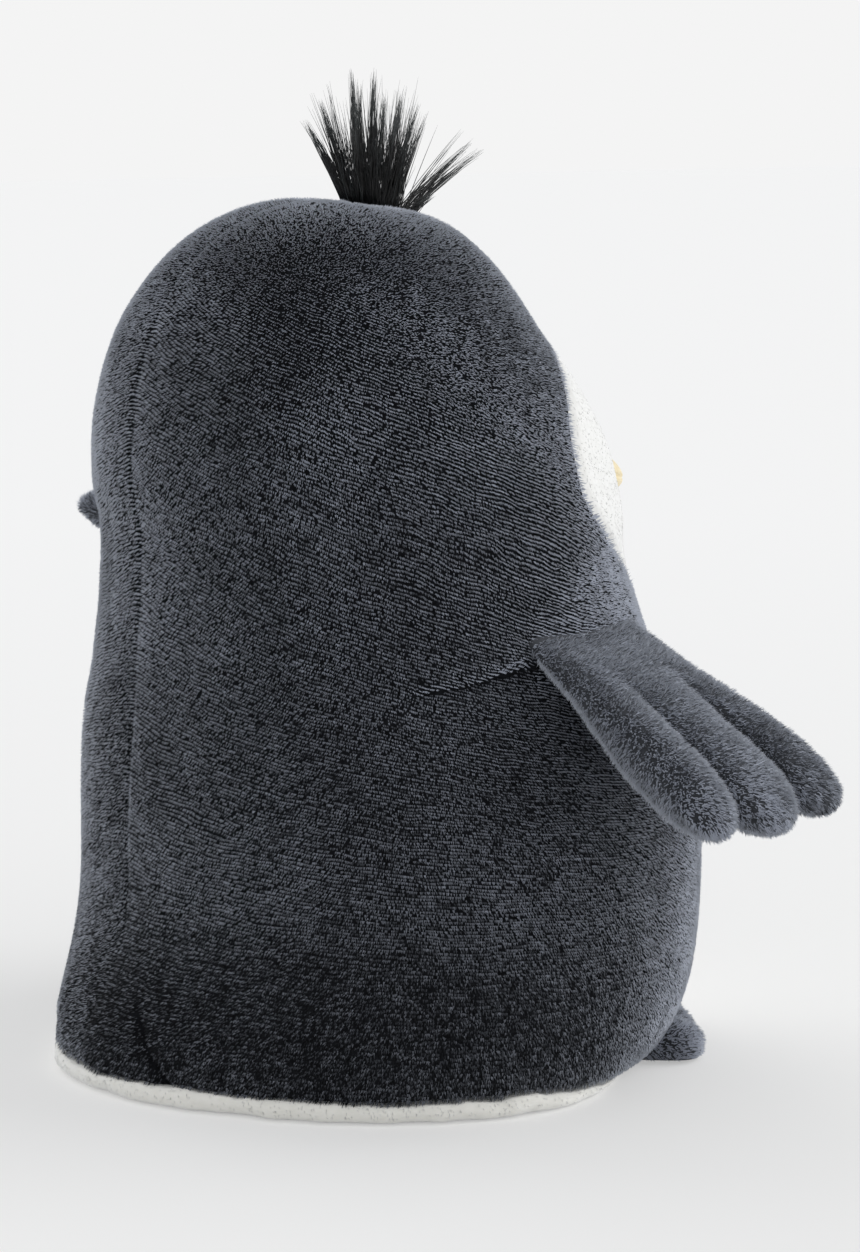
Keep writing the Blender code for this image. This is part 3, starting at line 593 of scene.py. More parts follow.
def bare_skin(point):
    """The tuft's bed and the base's darts, without pile."""
    x, y, z = point.T
    bed = (np.abs(x) < 0.0022) & (y > -0.019) & (y < 0.001) & (z > 0.15)
    tuck, climb = base_dart(point)
    return bed | (tuck < 0.0005 * (1 - climb))


def body_pile():
    """The dark pile of the back panels, combed down and over their seams."""
    random = np.random.default_rng(42)
    turn, length = body_pile_roots()
    point, normal, up, side = body_frame(turn, length)
    face, belly = patch_value(FACE, point), patch_value(BELLY_PATCH, point)
    above_seam = length > seam_at(turn) + BASE_FRINGE_START
    keep = (face > 1.01) & (belly > 1.01) & above_seam & ~bare_skin(point)
    turn, length, face, belly = (part[keep] for part in (turn, length, face, belly))
    point, normal, up, side = (part[keep] for part in (point, normal, up, side))
    count = len(turn)
    u = (turn - pi) * BODY_RADIUS
    seam, nap = seam_share(point), chest_nap(point)
    lip, shade = dart_lip(point)
    ridge = pile_rise(u, length, nap)
    patches_and_highlights = patch_and_highlight_tone(u, length, point)
    root = point + normal * (relief(point) - PILE_DEPTH)[:, None]
    angle = layered(u, length, ((0.30, 0.030, 0.030, 35), (0.30, 0.004, 0.004, 36)))
    angle = angle - 0.9 * nap * np.sign(point[:, 0])
    comb = turned_comb(normal, -up, angle + random.normal(0, 0.25, count))
    comb = unit(lerp(comb, up + 0.6 * side, 0.8 * lip[:, None]))
    comb, fringe = fringed(comb, point, normal, up, side, ((FACE, face), (BELLY_PATCH, belly)))
    past_seam = (length - seam_at(turn) - BASE_FRINGE_START) / 0.0012
    fringe = np.maximum(fringe, 0.8 * ease(1 - past_seam))
    blade = BLADE_LENGTH * (1 + 0.20 * ridge + random.normal(0, 0.08, count)) * (1 - 0.30 * seam)
    blade = blade * (1 + fringe * random.uniform(0.2, 1.1, count))
    lean = np.radians(48 - 8 * ridge + 5 * patches_and_highlights - 8 * nap - 8 * lip + random.normal(0, 6, count))
    width = BLADE_WIDTH * random.uniform(0.8, 1.2, count)
    stitch = 0.5 + 0.5 * np.cos(2 * pi * length / STITCH_STEP)
    turned = lerp(1.7, 1.15, rising(length, 0.130, 0.050))
    # Painted highlight: the pile lighter where the body turns towards its sides, and on the crown.
    facing = (1 - nap) * rising(np.abs(u) / BODY_RADIUS, turned, 0.5)
    facing = facing + 1.4 * rising(length, 0.170, 0.03)
    # Tone: painted highlight on ridge crests and painted shade in their valleys, painted highlight on the
    # spots and the chest nap, and darker stitched seams.
    light = 1.75 + 1.7 * ridge + 0.42 * patches_and_highlights + 1.3 * nap - 1.0 * seam * stitch
    light = light + random.normal(0, 0.3, count)
    # Painted shade: the pile darker low on the body where its ridges fade, and lighter higher up in the
    # next line.
    light = light - 0.55 * (1 - low_ridges(length)) * (1 - facing)
    # Painted highlight on the flipper dart's lip and painted shadow under it.
    light = light + 2.9 * lip - 0.8 * shade + 0.6 * rising(point[:, 2], 0.05, 0.10)
    # Painted highlight on the sides and crown, and painted sheen that makes the left panel lighter than the
    # right.
    light = light + 1.9 * facing + 0.5 * (u < 0)
    fibres = (root, normal, comb, blade, width, lean, light)
    band = np.digitize(point[:, 2], PILE_BANDS)
    made = []
    for side_name, on_side in (("left", point[:, 0] >= 0), ("right", point[:, 0] < 0)):
        for number in range(len(PILE_BANDS) + 1):
            part = on_side & (band == number)
            chosen = (values[part] for values in fibres)
            made.append(blades(f"pile_{side_name}_{number + 1}", *chosen, CHARCOAL))
    return made


# Skins of the body
SKIN_TURNS = 360
SKIN_STEPS = 220
UNDERLAP = 0.0024

# Rounded rim of the base
RIM_FLOOR = 0.0002
RIM_DEPTH = 0.0050
RIM_SQUARENESS = 0.6
RIM_TUCK = 0.0004
RIM_END = radians(42)


def body_skin():
    """The dark skin as one closed form, sunk under the pale panels."""
    share, turn = np.meshgrid(np.linspace(0, 1, SKIN_STEPS), turns(SKIN_TURNS), indexing="ij")
    seam = seam_at(turn)
    length = lerp(seam - 0.0010, PROFILE_LENGTH - 0.0004, share)
    point, normal, _, _ = body_frame(turn, length)
    sunk = falling(length, seam + 0.0006, 0.0012)
    for patch in (FACE, BELLY_PATCH):
        sunk = np.maximum(sunk, falling(patch_value(patch, point), 1.03, 0.07))
    rings = point + normal * (relief(point) - PILE_DEPTH - UNDERLAP * sunk)[..., None]
    item = finish_with(lofted("body_plush", rings), CHARCOAL_CLOTH)
    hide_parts("back_panel_left", "back_panel_right", "body_stuffing", "pellet_pouch",
                "back_seam_thread", "brow_seam_thread", "throat_seam_thread")
    return item


def patch_skin(name, patch, nodes):
    """A pale panel as a thin closed pad, with its rim pulled in by the seam."""
    rings, share = patch_grid(patch)
    normal = outward_of(rings)
    rim = rising(share, 0.90, 0.10)
    lift = relief(rings) - PILE_DEPTH - 0.0011 * rim + (1 - rim) * cheeks(rings)
    outer = rings + normal * lift[..., None]
    inner = rings + normal * (lift - 0.0010)[..., None]
    item = finish_with(lofted(name, np.concatenate([inner, outer[::-1]])), CREAM_CLOTH)
    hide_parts(*nodes)
    return item


def base_skin():
    """The pale base, with a rounded rim under its seam and a flat sole."""
    turn = turns(SKIN_TURNS)
    seam, normal, _, _ = body_frame(turn, seam_at(turn))
    out = unit(normal * np.array((1, 1, 0)))
    rise = np.maximum(seam[:, 2], 0.0012) - RIM_FLOOR
    half_rise = rise / (1 + sin(RIM_END))
    pucker = 0.0011 * noise(turn * 7, 0 * turn, 16) + 0.0005 * noise(turn * 19, 0 * turn, 17)
    rims = []
    for angle in np.linspace(-pi / 2, RIM_END, 16):
        swell = max(0, cos(angle)) ** RIM_SQUARENESS - cos(RIM_END) ** RIM_SQUARENESS
        reach = RIM_DEPTH * swell - RIM_TUCK
        reach = (reach + pucker * (1 - sin(angle)) / 2) * rise / rise.max()
        place = seam + out * reach[:, None]
        place[:, 2] = RIM_FLOOR + half_rise * (1 + sin(angle))
        rims.append(place)
    wall = np.array(rims)
    centre, roof = wall[0].mean(axis=0), wall[-1].mean(axis=0)
    sole = [lerp(centre, wall[0], share) for share in (0.15, 0.35, 0.55, 0.75, 0.9)]
    top = [lerp(roof, wall[-1], share) for share in (0.9, 0.6, 0.3)]
    item = finish_with(lofted("base_plush", np.concatenate([sole, wall, top])), BASE_CLOTH)
    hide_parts("base_panel", "base_seam_thread")
    return item


# Pale pile, strewn on the faces of a skin
PALE_LENGTH = 0.00045
PALE_BASE_LENGTH = 0.0007


def strewn(item, per_area, seed):
    """Points spread evenly over a mesh, with smooth outward directions."""
    mesh = item.data
    mesh.calc_loop_triangles()
    corners = read(mesh.loop_triangles, "vertices", 3, np.int32)
    places = read(mesh.vertices, "co", 3).astype(float)
    normals = read(mesh.vertex_normals, "vector", 3).astype(float)
    a, b, c = (places[corners[:, number]] for number in range(3))
    area = np.linalg.norm(np.cross(b - a, c - a), axis=1) / 2
    random = np.random.default_rng(seed)
    chosen = random.choice(len(area), int(area.sum() * per_area), p=area / area.sum())
    one, two = random.uniform(0, 1, (2, len(chosen)))
    over = one + two > 1
    one, two = np.where(over, 1 - one, one), np.where(over, 1 - two, two)
    weights = np.stack([1 - one - two, one, two], axis=1)[..., None]

    def spread(values):
        """Values carried over to the strewn points."""
        return np.sum(values[corners[chosen]] * weights, axis=1)

    return spread, spread(places), unit(spread(normals)), random


def pale_pile(name, item, length, patch=None):
    """Short pale pile on the outside of a patch or on the rim of the base."""
    _, point, normal, random = strewn(item, 0.7e6, 51)
    if patch:
        facing = np.sum(normal * outward_of(point), axis=1)
        kept = (patch_value(patch, point) < 0.995) & (facing > 0.2)
    else:
        kept = (point[:, 2] > 0.0012) & (normal[:, 2] > -0.4)
    point, normal = point[kept], normal[kept]
    count = len(point)
    down = np.array((0, 0, -1.0)) + normal * normal[:, 2:]
    angle = layered(point[:, 0], point[:, 2], ((0.5, 0.01, 0.01, 52),)) + random.normal(0, 0.3, count)
    comb = turned_comb(normal, unit(down + 1e-6), angle)
    blade = length * random.uniform(0.75, 1.15, count)
    light = random.normal(1.9, 0.7, count)
    lean = np.radians(random.normal(75, 4, count))
    return blades(name, point, normal, comb, blade, np.full(count, 0.00012), lean, light, CREAM, 1.0)


# Limbs, as fingered pads that grow along local Y from a hinge on local X
FINGERS = 3
FINGER_ROUNDING = 0.72
GROOVE_DEPTH = 0.42
LIMB_PER_AREA = 5.0e6

# Flippers: pad, lift and sweep of each, and pile by its length, seed and shade, a tone set lighter than the
# body's as painted light
FLIPPER_PAD = {"root_width": 0.0435, "tip_width": 0.055, "length": 0.0575, "swell": 0.55,
               "back_groove": 0.12, "root_trim": 0.18, "waist": 0.09, "longer": (0.0, 0.0018, -0.0010)}
FLIPPER_RAISE = {"left": 16.0, "right": -31.5}
FLIPPER_SWEEP = {"left": -0.0262, "right": 0.0}
FLIPPER_PILE = (0.0013, 61, 4.7)

# Feet: pad with shorter inner toes, heights of the rim, the top and the sole, and pile, its shade set
# lighter still as painted light
FOOT_PAD = {"root_width": 0.036, "tip_width": 0.041, "length": 0.0185, "swell": 0.85}
INNER_SHORTER = (-0.0028, -0.0012, 0.0)
FOOT_EDGE = 0.0040
FOOT_TOP = 0.0088
FOOT_SOLE = 0.0003
FOOT_PILE = (0.0012, 71, 6.9)
FOOT_PILE_START = -0.0030
FOOT_PILE_FLOOR = 0.0012

# Cloth simulation of the limbs
CLOTH_SCALE = 10
CLOTH_PRESSURE = 4.0
CLOTH_FRAMES = 20
CLOTH_CAP = 0.0014


def limb_matrix(joint, raise_angle):
    place, axis = Vector(JOINTS[joint]["pos_m"]), Vector(JOINTS[joint]["axis"])
    way = Vector((0, 0, 1)).cross(axis)
    columns = Matrix((axis, way, Vector((0, 0, 1)))).transposed().to_4x4()
    return Matrix.Translation(place) @ columns @ Matrix.Rotation(radians(raise_angle), 4, "X")


def in_world(matrix, points):
    grid = np.array(matrix)
    return points @ grid[:3, :3].T + grid[:3, 3]


def limb_pad(wall, bend, root_width, tip_width, length, swell, back_groove=0.0, root_trim=0.0, waist=0.0,
             longer=(0.0, 0.0, 0.0)):
    """A fingered pad's x and y, its share of thickness, its seams, and its grooves for painted shade."""
    across = np.linspace(-1, 1, FINGERS * 18 + 1)[None, :]
    along = np.concatenate([np.linspace(-0.16, -0.02, 6), np.linspace(0, 1, 44)])[:, None]
    finger = np.minimum(FINGERS - 1, np.floor((across + 1) / 2 * FINGERS))
    curve = np.sin(pi * ((across + 1) / 2 * FINGERS - finger - 0.5))
    side = 2 * (finger + (curve + 1) / 2) / FINGERS - 1
    side = side + back_groove * np.maximum(0, 1 - ((side - 1 / 3) / (2 / 3)) ** 2) * (side > -1 / 3)
    arch = np.sqrt(np.maximum(0, 1 - curve ** 2))
    reach = np.where(along > 0, np.sin(pi / 2 * along), along)
    lobe = tip_width / FINGERS / 2
    root = wall(side * (root_width / 2 - PILE_DEPTH))
    tip = length - PILE_DEPTH - lobe * (1 - arch) + np.array(longer)[finger.astype(int)] * arch
    y = lerp(root, tip, reach)
    rise = lerp(0.42, 1, np.sin(pi / 2 * np.clip(reach / swell, 0, 1)))
    past = np.maximum(0, (reach - FINGER_ROUNDING) / (1 - FINGER_ROUNDING))
    cap = np.sqrt(np.maximum(0, 1 - past ** 2))
    palm = np.sqrt(np.maximum(0, 1 - side ** 2))
    fingers = lerp(GROOVE_DEPTH * (1 - side ** 6), 1, arch)
    share = rise * cap * lerp(palm, fingers, rising(reach, 0.22, 0.42))
    half_width = lerp(root_width, tip_width, np.maximum(reach, 0)) / 2 - PILE_DEPTH
    half_width = half_width * (1 - root_trim * (1 - np.maximum(reach, 0)) * np.maximum(0, side))
    half_width = half_width * (1 - waist * bump(reach, 0.5, 0.25) * np.maximum(0, -side))
    x = side * half_width + bend * np.maximum(0, y) ** 2
    grooves, groove_shade = (falling(arch, *arched) * rising(reach, *reached) * (np.abs(side) < 0.9)
                       for arched, reached in (((0.35, 0.35), (0.20, 0.20)), ((0.55, 0.55), (0.30, 0.25))))
    held = np.maximum(np.maximum(grooves, falling(share, 0.22, 0.22)), falling(reach, 0.10, 0.08))
    return x, y, share, {"held": held, "groove_shade": groove_shade}


def pad_mesh(name, upper, lower, marks):
    """A closed pad from two grids, puffed out between its seams."""
    rows, columns = upper.shape[:2]
    count = rows * columns
    index = np.arange(count).reshape(rows, columns)
    quads = np.stack([index[:-1, :-1], index[:-1, 1:], index[1:, 1:], index[1:, :-1]], axis=-1)
    quads = quads.reshape(-1, 4)
    near, far = index[0, :-1], index[0, 1:]
    root = np.stack([near, near + count, far + count, far], axis=-1)
    item = mesh_object(name, np.concatenate([upper.reshape(-1, 3), lower.reshape(-1, 3)]),
                       [np.concatenate([quads, quads[:, ::-1] + count, root])])
    for mark, values in marks.items():
        layer = item.data.attributes.new(mark, "FLOAT", "POINT")
        layer.data.foreach_set("value", np.tile(values.ravel(), 2).astype(np.float32))
    form = bmesh.new()
    form.from_mesh(item.data)
    bmesh.ops.remove_doubles(form, verts=form.verts, dist=0.00002)
    bmesh.ops.dissolve_degenerate(form, edges=form.edges, dist=0.00001)
    for _ in range(3):
        bmesh.ops.smooth_vert(form, verts=form.verts, factor=0.4,
                              use_axis_x=True, use_axis_y=True, use_axis_z=True)
    bmesh.ops.recalc_face_normals(form, faces=form.faces)
    form.to_mesh(item.data)
    form.free()
    item.data.shade_smooth()
    held = taken_mark(item, "held")
    puff(item, held[:, 0])
    return item


def taken_mark(item, mark):
    """A pad's mark, taken off it."""
    layer = item.data.attributes[mark]
    values = read(layer.data, "value")
    item.data.attributes.remove(layer)
    return values


def puff(item, held):
    """Cloth filled by pressure between its seams, run enlarged."""
    start = read(item.data.vertices, "co", 3)
    middle = start.mean(axis=0)
    trial = placed("trial", item.data.copy())
    trial.data.vertices.foreach_set("co", ((start - middle) * CLOTH_SCALE).ravel())
    group = trial.vertex_groups.new(name="held")
    for index, weight in enumerate(held):
        if weight > 0.01:
            group.add([index], float(weight), "REPLACE")
    cloth = trial.modifiers.new("cloth", "CLOTH")
    cloth.settings.vertex_group_mass = "held"
    cloth.settings.use_pressure = True
    cloth.settings.uniform_pressure_force = CLOTH_PRESSURE
    cloth.settings.effector_weights.gravity = 0
    cloth.settings.quality = 5
    cloth.collision_settings.use_collision = False
    cloth.point_cache.frame_start = 1
    cloth.point_cache.frame_end = CLOTH_FRAMES
    for number in range(1, CLOTH_FRAMES + 1):
        SCENE.frame_set(number)
    shaped = trial.evaluated_get(bpy.context.evaluated_depsgraph_get())
    move = read(shaped.data.vertices, "co", 3) / CLOTH_SCALE + middle - start
    far = np.linalg.norm(move, axis=1, keepdims=True)
    move = move * np.minimum(1, CLOTH_CAP / np.maximum(far, 1e-9))
    item.data.vertices.foreach_set("co", (start + move).ravel())
    item.data.update()
    SCENE.frame_set(1)
    mesh = trial.data
    bpy.data.objects.remove(trial)
    bpy.data.meshes.remove(mesh)


def limb_pile(name, item, matrix, hidden, length, seed, shade):
    """Short pile strewn over a limb, combed out towards its fingers."""
    spread, point, normal, random = strewn(item, LIMB_PER_AREA, seed)
    # Painted shade: the grooves between the fingers, taken off the pad.
    groove_shade = spread(taken_mark(item, "groove_shade"))[:, 0]
    kept = ~hidden(point)
    point, normal, groove_shade = point[kept], normal[kept], groove_shade[kept]
    count = len(point)
    out = np.array(matrix.to_3x3() @ Vector((0, 1, -0.25)))
    comb = unit(out - normal * (normal @ out)[:, None] + 1e-6)
    x, y, _ = in_world(matrix.inverted(), point).T
    swirl = layered(x, y, ((1, 0.006, 0.006, 1),), seeds=seed)
    clump = layered(x, y, ((0.45, 0.0013, 0.0020, 2), (0.85, 0.00055, 0.0012, 3)), seeds=seed)
    comb = turned_comb(normal, comb, 0.4 * swirl + random.normal(0, 0.35, count))
    blade = length * (1 + 0.30 * clump + random.normal(0, 0.08, count))
    lean = np.radians(41 + 8 * swirl + random.normal(0, 11, count))
    # Painted light: the pile lighter where it faces up, and darker in the finger grooves as painted shade.
    light = shade + 1.9 * clump + 0.4 * normal[:, 2] - 2.0 * groove_shade
    # Painted light: one side of each limb lighter than the other.
    light = light + 1.5 * np.clip(x / 0.02, -1, 1)
    light = light + random.normal(0, 0.6, count)
    width = BLADE_WIDTH * random.uniform(0.8, 1.2, count)
    return blades(name, point, normal, comb, blade, width, lean, light, CHARCOAL)


def limb(body, matrix, pad, heights, hidden, pile, under):
    """A stuffed pad with its pile, built from the hinge at its sewn root."""
    x, y, marks = pad
    grids = []
    for height in heights:
        local = np.stack([x, y, height], axis=-1)
        grids.append(in_world(matrix, local.reshape(-1, 3)).reshape(local.shape))
    item = finish_with(pad_mesh(f"{body}_plush", *grids, marks), LIMB_CLOTH)
    cover = limb_pile(f"{body}_pile", item, matrix, hidden, *pile)
    for piece in (item, cover):
        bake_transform(piece)
    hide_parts(f"{body}_upper", f"{body}_{under}", f"{body}_stuffing")


def flipper(side):
    """A stuffed mitt with three fingers."""
    body = f"flipper_{side}"
    matrix = limb_matrix(f"{body}_bend", FLIPPER_RAISE[side])

    def wall(x):
        """Where the middle plane of the flipper meets the body."""
        flat = x.ravel()
        start = in_world(matrix, np.stack([flat, np.full(len(flat), -0.03), 0 * flat], axis=1))
        way = np.tile(np.array(matrix.to_3x3())[:, 1], (len(flat), 1))
        return (leave_body(start, way, 0.0, 0.06) - 0.03).reshape(x.shape)

    x, y, share, marks = limb_pad(wall, FLIPPER_SWEEP[side] / 0.060 ** 2, **FLIPPER_PAD)
    thick = 0.0066 * share
    limb(body, matrix, (x, y, marks), (thick, -thick), inside_body, FLIPPER_PILE,
         under="lower")


def foot(side):
    """A stuffed foot with three toes and a flat sole."""
    body = f"foot_{side}"
    matrix = limb_matrix(f"{body}_bend", 0.0)
    longer = INNER_SHORTER if side == "right" else INNER_SHORTER[::-1]
    x, y, share, marks = limb_pad(lambda spot: 0 * spot - 0.010, 0.0, **FOOT_PAD, longer=longer)
    high = FOOT_EDGE + (FOOT_TOP - FOOT_EDGE) * np.maximum(share, 0)
    low = FOOT_EDGE - (FOOT_EDGE - FOOT_SOLE) * np.sqrt(np.clip(share * 2.5, 0, 1))

    def hidden(spot):
        """The part that stays in the body as the foot droops, and the sole."""
        within = in_world(matrix.inverted(), spot)[:, 1] < FOOT_PILE_START
        return within | (spot[:, 2] < FOOT_PILE_FLOOR)

    limb(body, matrix, (x, y, marks), (high, low), hidden, FOOT_PILE, under="sole")


# Hair tuft: where each lock is rooted along the crown, where its tip ends, and its count of hairs
LOCKS = ((-0.0008, 0.0103, 0.2174, 46), (-0.0018, 0.0060, 0.2217, 52), (-0.0020, 0.0055, 0.2268, 5),
         (-0.0036, -0.0021, 0.2288, 50), (-0.0044, -0.0049, 0.2259, 46), (-0.0062, -0.0079, 0.2287, 50),
         (-0.0074, -0.0119, 0.2228, 50), (-0.0090, -0.0166, 0.2243, 56), (-0.0102, -0.0196, 0.2205, 50),
         (-0.0112, -0.0229, 0.2186, 26), (-0.0122, -0.0320, 0.2146, 8), (-0.0128, -0.0362, 0.2122, 30),
         (-0.0132, -0.0378, 0.2102, 26), (-0.0136, -0.0219, 0.2001, 44))
FILLING_HAIRS = 260
TUFT_LENGTH = 0.0142
STRAND_STEPS = 7
STRAND_RADIUS = 0.00010


def crown_height(y):
    heights = np.linspace(0.17, CROWN_HEIGHT - 1e-5, 400)
    back = body_points(np.full(400, pi), heights)[:, 1]
    front = body_points(np.zeros(400), heights)[:, 1]
    line = np.concatenate([front, back[::-1]])
    return np.interp(y, line, np.concatenate([heights, heights[::-1]]))


def tuft():
    """Stiff hairs in pointed locks, rooted in the crown seam."""
    random = np.random.default_rng(81)
    lines, shades, hairs = [], [], []
    share = np.linspace(0, 1, STRAND_STEPS)[:, None]
    for root_y, tip_y, tip_z, count in LOCKS:
        hairs += [(root_y, random.normal(0, 0.0018), tip_y, tip_z, 0.0004, 0.16)] * count
    roots = random.uniform(-0.0136, -0.0006, FILLING_HAIRS)
    backs = roots / -TUFT_LENGTH + random.normal(0, 0.06, FILLING_HAIRS)
    for root_y, back in zip(roots, backs):
        hairs.append((root_y, random.normal(0, 0.003), lerp(0.009, -0.022, back), 0.2235, 0.002, 0.30))
    for root_y, tip_x, tip_y, tip_z, spread, shortness in hairs:
        start = np.array((random.uniform(-0.0014, 0.0014), root_y + random.normal(0, 0.0008), 0.0))
        start[2] = crown_height(start[1]) - 0.0016
        end = np.array((tip_x, tip_y, tip_z)) + random.normal(0, spread, 3)
        end = lerp(start, end, 1 - min(0.6, abs(random.normal(0, shortness))))
        lift = np.array((start[0] * 0.5, 0, 0.05 * np.linalg.norm(end - start)))
        knee = lerp(start, end, 0.5) + lift + random.normal(0, 0.0005, 3)
        lines.append((1 - share) ** 2 * start + 2 * share * (1 - share) * knee + share ** 2 * end)
        shades.append(min(len(HAIR) - 1, int(random.integers(0, len(HAIR)) * random.uniform(0.5, 1.3))))
    lines = np.array(lines)
    ahead = unit(np.gradient(lines, axis=1))
    side = unit(np.cross(ahead, np.array((0.3, 1.0, 0.2))))
    other = np.cross(ahead, side)
    radius = STRAND_RADIUS * np.clip(1.15 - share ** 2, 0.08, 1)
    corners = [lines + radius * (side * cos(turn) + other * sin(turn))
               for turn in (0, 2 * pi / 3, 4 * pi / 3)]
    points = np.stack(corners, axis=2).reshape(-1, 3)
    corner = np.arange(3)
    here = np.arange(len(lines))[:, None, None] * STRAND_STEPS * 3
    step = np.arange(STRAND_STEPS - 1)[None, :, None]
    low = here + step * 3 + corner
    beside = here + step * 3 + (corner + 1) % 3
    quads = np.stack([low, beside, beside + 3, low + 3], axis=-1).reshape(-1, 4)
    first = here[:, 0] + corner[::-1]
    last = here[:, 0] + (STRAND_STEPS - 1) * 3 + corner
    item = mesh_object("hair_strands", points, [quads, np.concatenate([first, last])])
    shades = np.array(shades)
    # Painted light: the last steps of each hair take the lightest shade, for light shining through their
    # thin tips.
    near_tip = step + 0 * corner > STRAND_STEPS - 4
    sides = np.where(near_tip, len(HAIR) - 1, shades[:, None, None]).ravel()
    slots = np.concatenate([sides, shades, shades])
    item.data.polygons.foreach_set("material_index", slots.astype(np.int32))
    finish_with(item, *HAIR)
    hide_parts("hair_tuft")
    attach(item, "tuft")


# Beak and eyes
BEAK_HEIGHT = 0.1335
BEAK_HALF = (0.0125, 0.0165, 0.00675)
BEAK_DIP = 0.003
EYE_RADIUS = 0.0045
EYE_RISE = 0.0022


def beak():
    """One closed felt form with a pressed line, dipping at its tip."""
    root = body_points(np.array(0.0), np.array(BEAK_HEIGHT))
    latitude = np.linspace(0.03, pi - 0.03, 40)[:, None]
    turn = turns(72)[None, :]
    pinch = 1 - 0.10 * bump(np.sin(turn), 0, 0.10)
    x = np.sin(latitude) * np.cos(turn) * pinch
    z = np.sin(latitude) * np.sin(turn)
    y = -np.cos(latitude) + 0 * turn
    reach = np.maximum(0, -y)
    rings = np.stack([BEAK_HALF[0] * x, root[1] + BEAK_HALF[1] * y,
                      root[2] + BEAK_HALF[2] * z - BEAK_DIP * reach * reach], axis=-1)
    item = finish_with(lofted("beak_felt", rings[:, ::-1]), FELT)
    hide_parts("beak_upper", "beak_lower", "beak_stuffing")
    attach(item, "body")


def eye(side, sign):
    """A glossy domed bead with a rounded rim, and its washer."""
    turn = np.array(sign * radians(18.0))
    length = np.array(float(np.interp(EYE_HEIGHT, PROFILE_HEIGHTS, PROFILE)))
    point, normal, up, across = body_frame(turn, length)
    spin = turns(64)[:, None]
    circle = np.cos(spin) * across + np.sin(spin) * up
    rings = []
    for angle in np.linspace(-50, 88, 22):
        tilt = radians(angle)
        if angle > 0:
            wide, height = cos(tilt), EYE_RISE * sin(tilt)
        else:
            wide = 0.86 + 0.14 * cos(tilt * 1.8)
            height = 0.0018 * sin(tilt)
        rings.append(point + normal * height + EYE_RADIUS * wide * circle)
    item = finish_with(lofted(f"eye_{side}_bead", np.array(rings), normal * 1e-5), EYE)
    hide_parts(f"eye_{side}")
    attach(item, "body")
    washer = frame["nodes"][f"eye_washer_{side}"]
    washer.data.materials.clear()
    washer.data.materials.append(WASHER)


# Room, light and camera
FLOOR_SHADES = ((0.905, 0.902, 0.895, 1), (0.968, 0.966, 0.963, 1))
SEEN_WHITE = (0.905, 0.905, 0.905, 1)
FOCAL_SHARE = 3642 / 1252
VIEW_PLACE = Vector((-0.7276, 0.4201, 0.2292))
VIEW_TARGET = Vector((-0.0097, -0.0168, 0.100))


def looking_ray(nodes, links):
    """One for rays that look straight, by a reflection or through glass."""
    path = add(nodes, "LightPath")
    found = path.outputs["Is Camera Ray"]
    for kind in ("Is Glossy Ray", "Is Transmission Ray"):
        either = add(nodes, "Math", operation="MAXIMUM")
        links.new(found, either.inputs[0])
        links.new(path.outputs[kind], either.inputs[1])
        found = either.outputs[0]
    return found


def mixed(nodes, links, share, first, second):
    mixer = add(nodes, "MixShader")
    for socket, output in zip(mixer.inputs, (share, first.outputs[0], second.outputs[0])):
        links.new(output, socket)
    return mixer.outputs[0]


def floor():
    """White paper, darker near the toy as a broad painted shade and lighter away from it, with a little
    glow.
    """
    corners = 6 * np.array(((-1, -1, 0), (1, -1, 0), (1, 1, 0), (-1, 1, 0)), float)
    item = mesh_object("floor", corners, [np.array([(0, 1, 2, 3)])])
    paper, nodes, links, shader = new_material("floor_paper", FLOOR_SHADES[0][:3], 0.9, 0.0, 0.1)
    away = add(nodes, "VectorMath", operation="LENGTH")
    ramp = add(nodes, "ValToRGB")
    for element, shade in zip(ramp.color_ramp.elements, FLOOR_SHADES):
        element.color = shade
    links.new(add(nodes, "TexCoord").outputs["Object"], away.inputs[0])
    links.new(away.outputs["Value"], ramp.inputs["Fac"])
    links.new(ramp.outputs["Color"], shader.inputs["Base Color"])
    glow = add(nodes, "Emission", {"Color": SEEN_WHITE})
    share = add(nodes, "Math", {1: 0.45}, "MULTIPLY")
    links.new(looking_ray(nodes, links), share.inputs[0])
    surface = mixed(nodes, links, share.outputs[0], shader, glow)
    links.new(surface, nodes["Material Output"].inputs["Surface"])
    finish_with(item, paper)


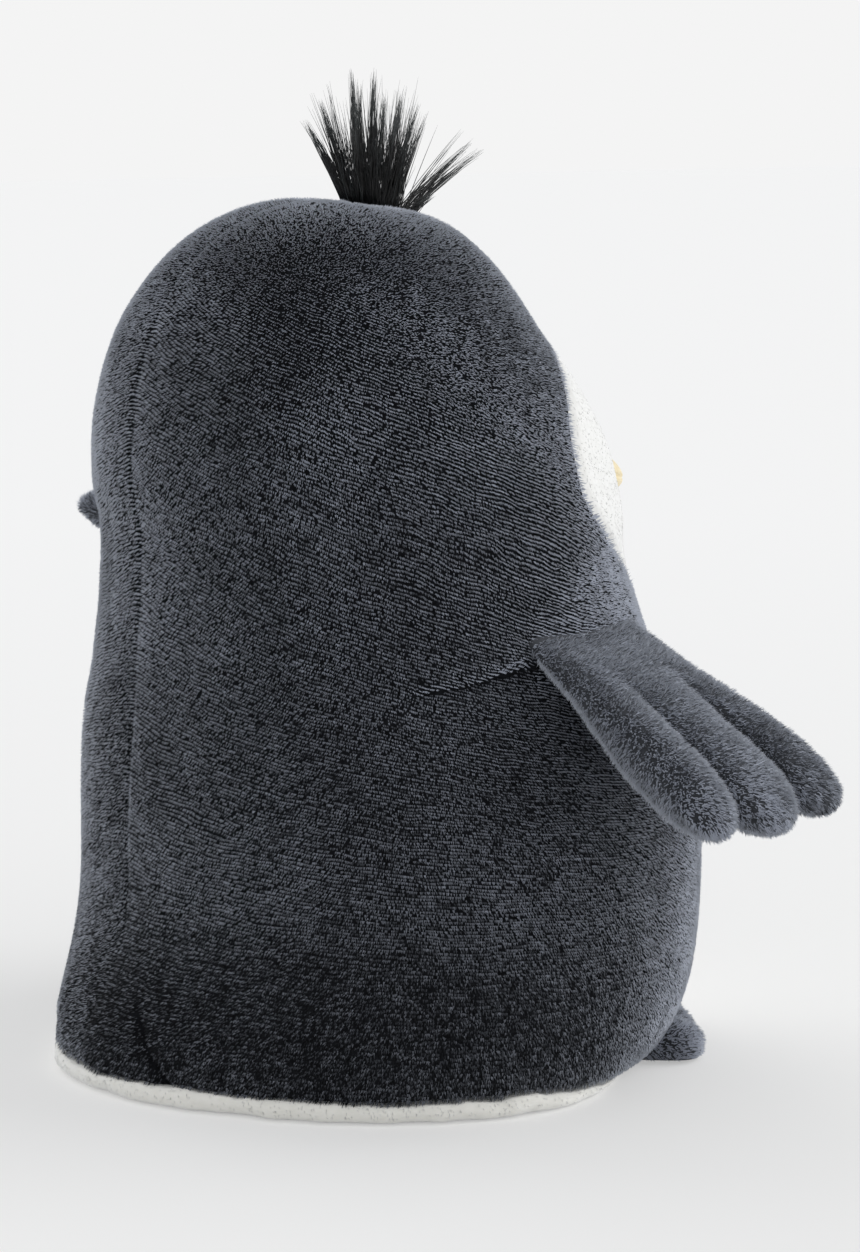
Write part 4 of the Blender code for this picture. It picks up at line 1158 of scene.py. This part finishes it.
def sky():
    """A pale room, evenly white where it is looked at."""
    world = bpy.data.worlds.new("studio")
    SCENE.world = world
    world.use_nodes = True
    nodes, links = world.node_tree.nodes, world.node_tree.links
    nodes.clear()
    light = add(nodes, "Background", {"Color": (0.97, 0.985, 1.0, 1), "Strength": 0.66})
    seen = add(nodes, "Background", {"Color": SEEN_WHITE, "Strength": 1.0})
    mixer = mixed(nodes, links, looking_ray(nodes, links), light, seen)
    links.new(mixer, add(nodes, "OutputWorld").inputs["Surface"])


def softbox(name, energy, source):
    sun = bpy.data.lights.new(name, "SUN")
    sun.energy = energy
    sun.angle = radians(50)
    placed(name, sun).rotation_euler = Vector(source).to_track_quat("Z", "Y").to_euler()


def camera():
    """The photograph's view, from behind the toy's right side."""
    lens = bpy.data.cameras.new("view")
    lens.sensor_fit = "VERTICAL"
    lens.sensor_height = 36.0
    lens.lens = FOCAL_SHARE * 36.0
    item = placed("view", lens)
    item.location = VIEW_PLACE
    item.rotation_euler = (VIEW_TARGET - VIEW_PLACE).to_track_quat("-Z", "Y").to_euler()
    SCENE.camera = item


def on_body(slot, *pieces):
    for piece in pieces:
        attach(piece, "body")


SCENE.view_settings.view_transform = "Standard"
camera()
floor()
sky()
softbox("key", 1.30, (-0.36, -0.93, 0.50))
softbox("fill", 0.60, (0.95, 0.20, 0.50))
skin = body_skin()
on_body("charcoal_plush", skin, *body_pile())
face_skin = patch_skin("face_plush", FACE, ("face_panel", "face_seam_thread"))
belly_skin = patch_skin("belly_plush", BELLY_PATCH, ("belly_panel", "belly_seam_thread"))
pale_base = base_skin()
on_body("cream_plush", face_skin, belly_skin, pale_base)
on_body("cream_plush", pale_pile("face_pile", face_skin, PALE_LENGTH, FACE),
        pale_pile("belly_pile", belly_skin, PALE_LENGTH, BELLY_PATCH),
        pale_pile("base_pile", pale_base, PALE_BASE_LENGTH))
for limb_side in ("left", "right"):
    flipper(limb_side)
    foot(limb_side)
tuft()
beak()
eye("left", 1)
eye("right", -1)

bpy.context.view_layer.update()
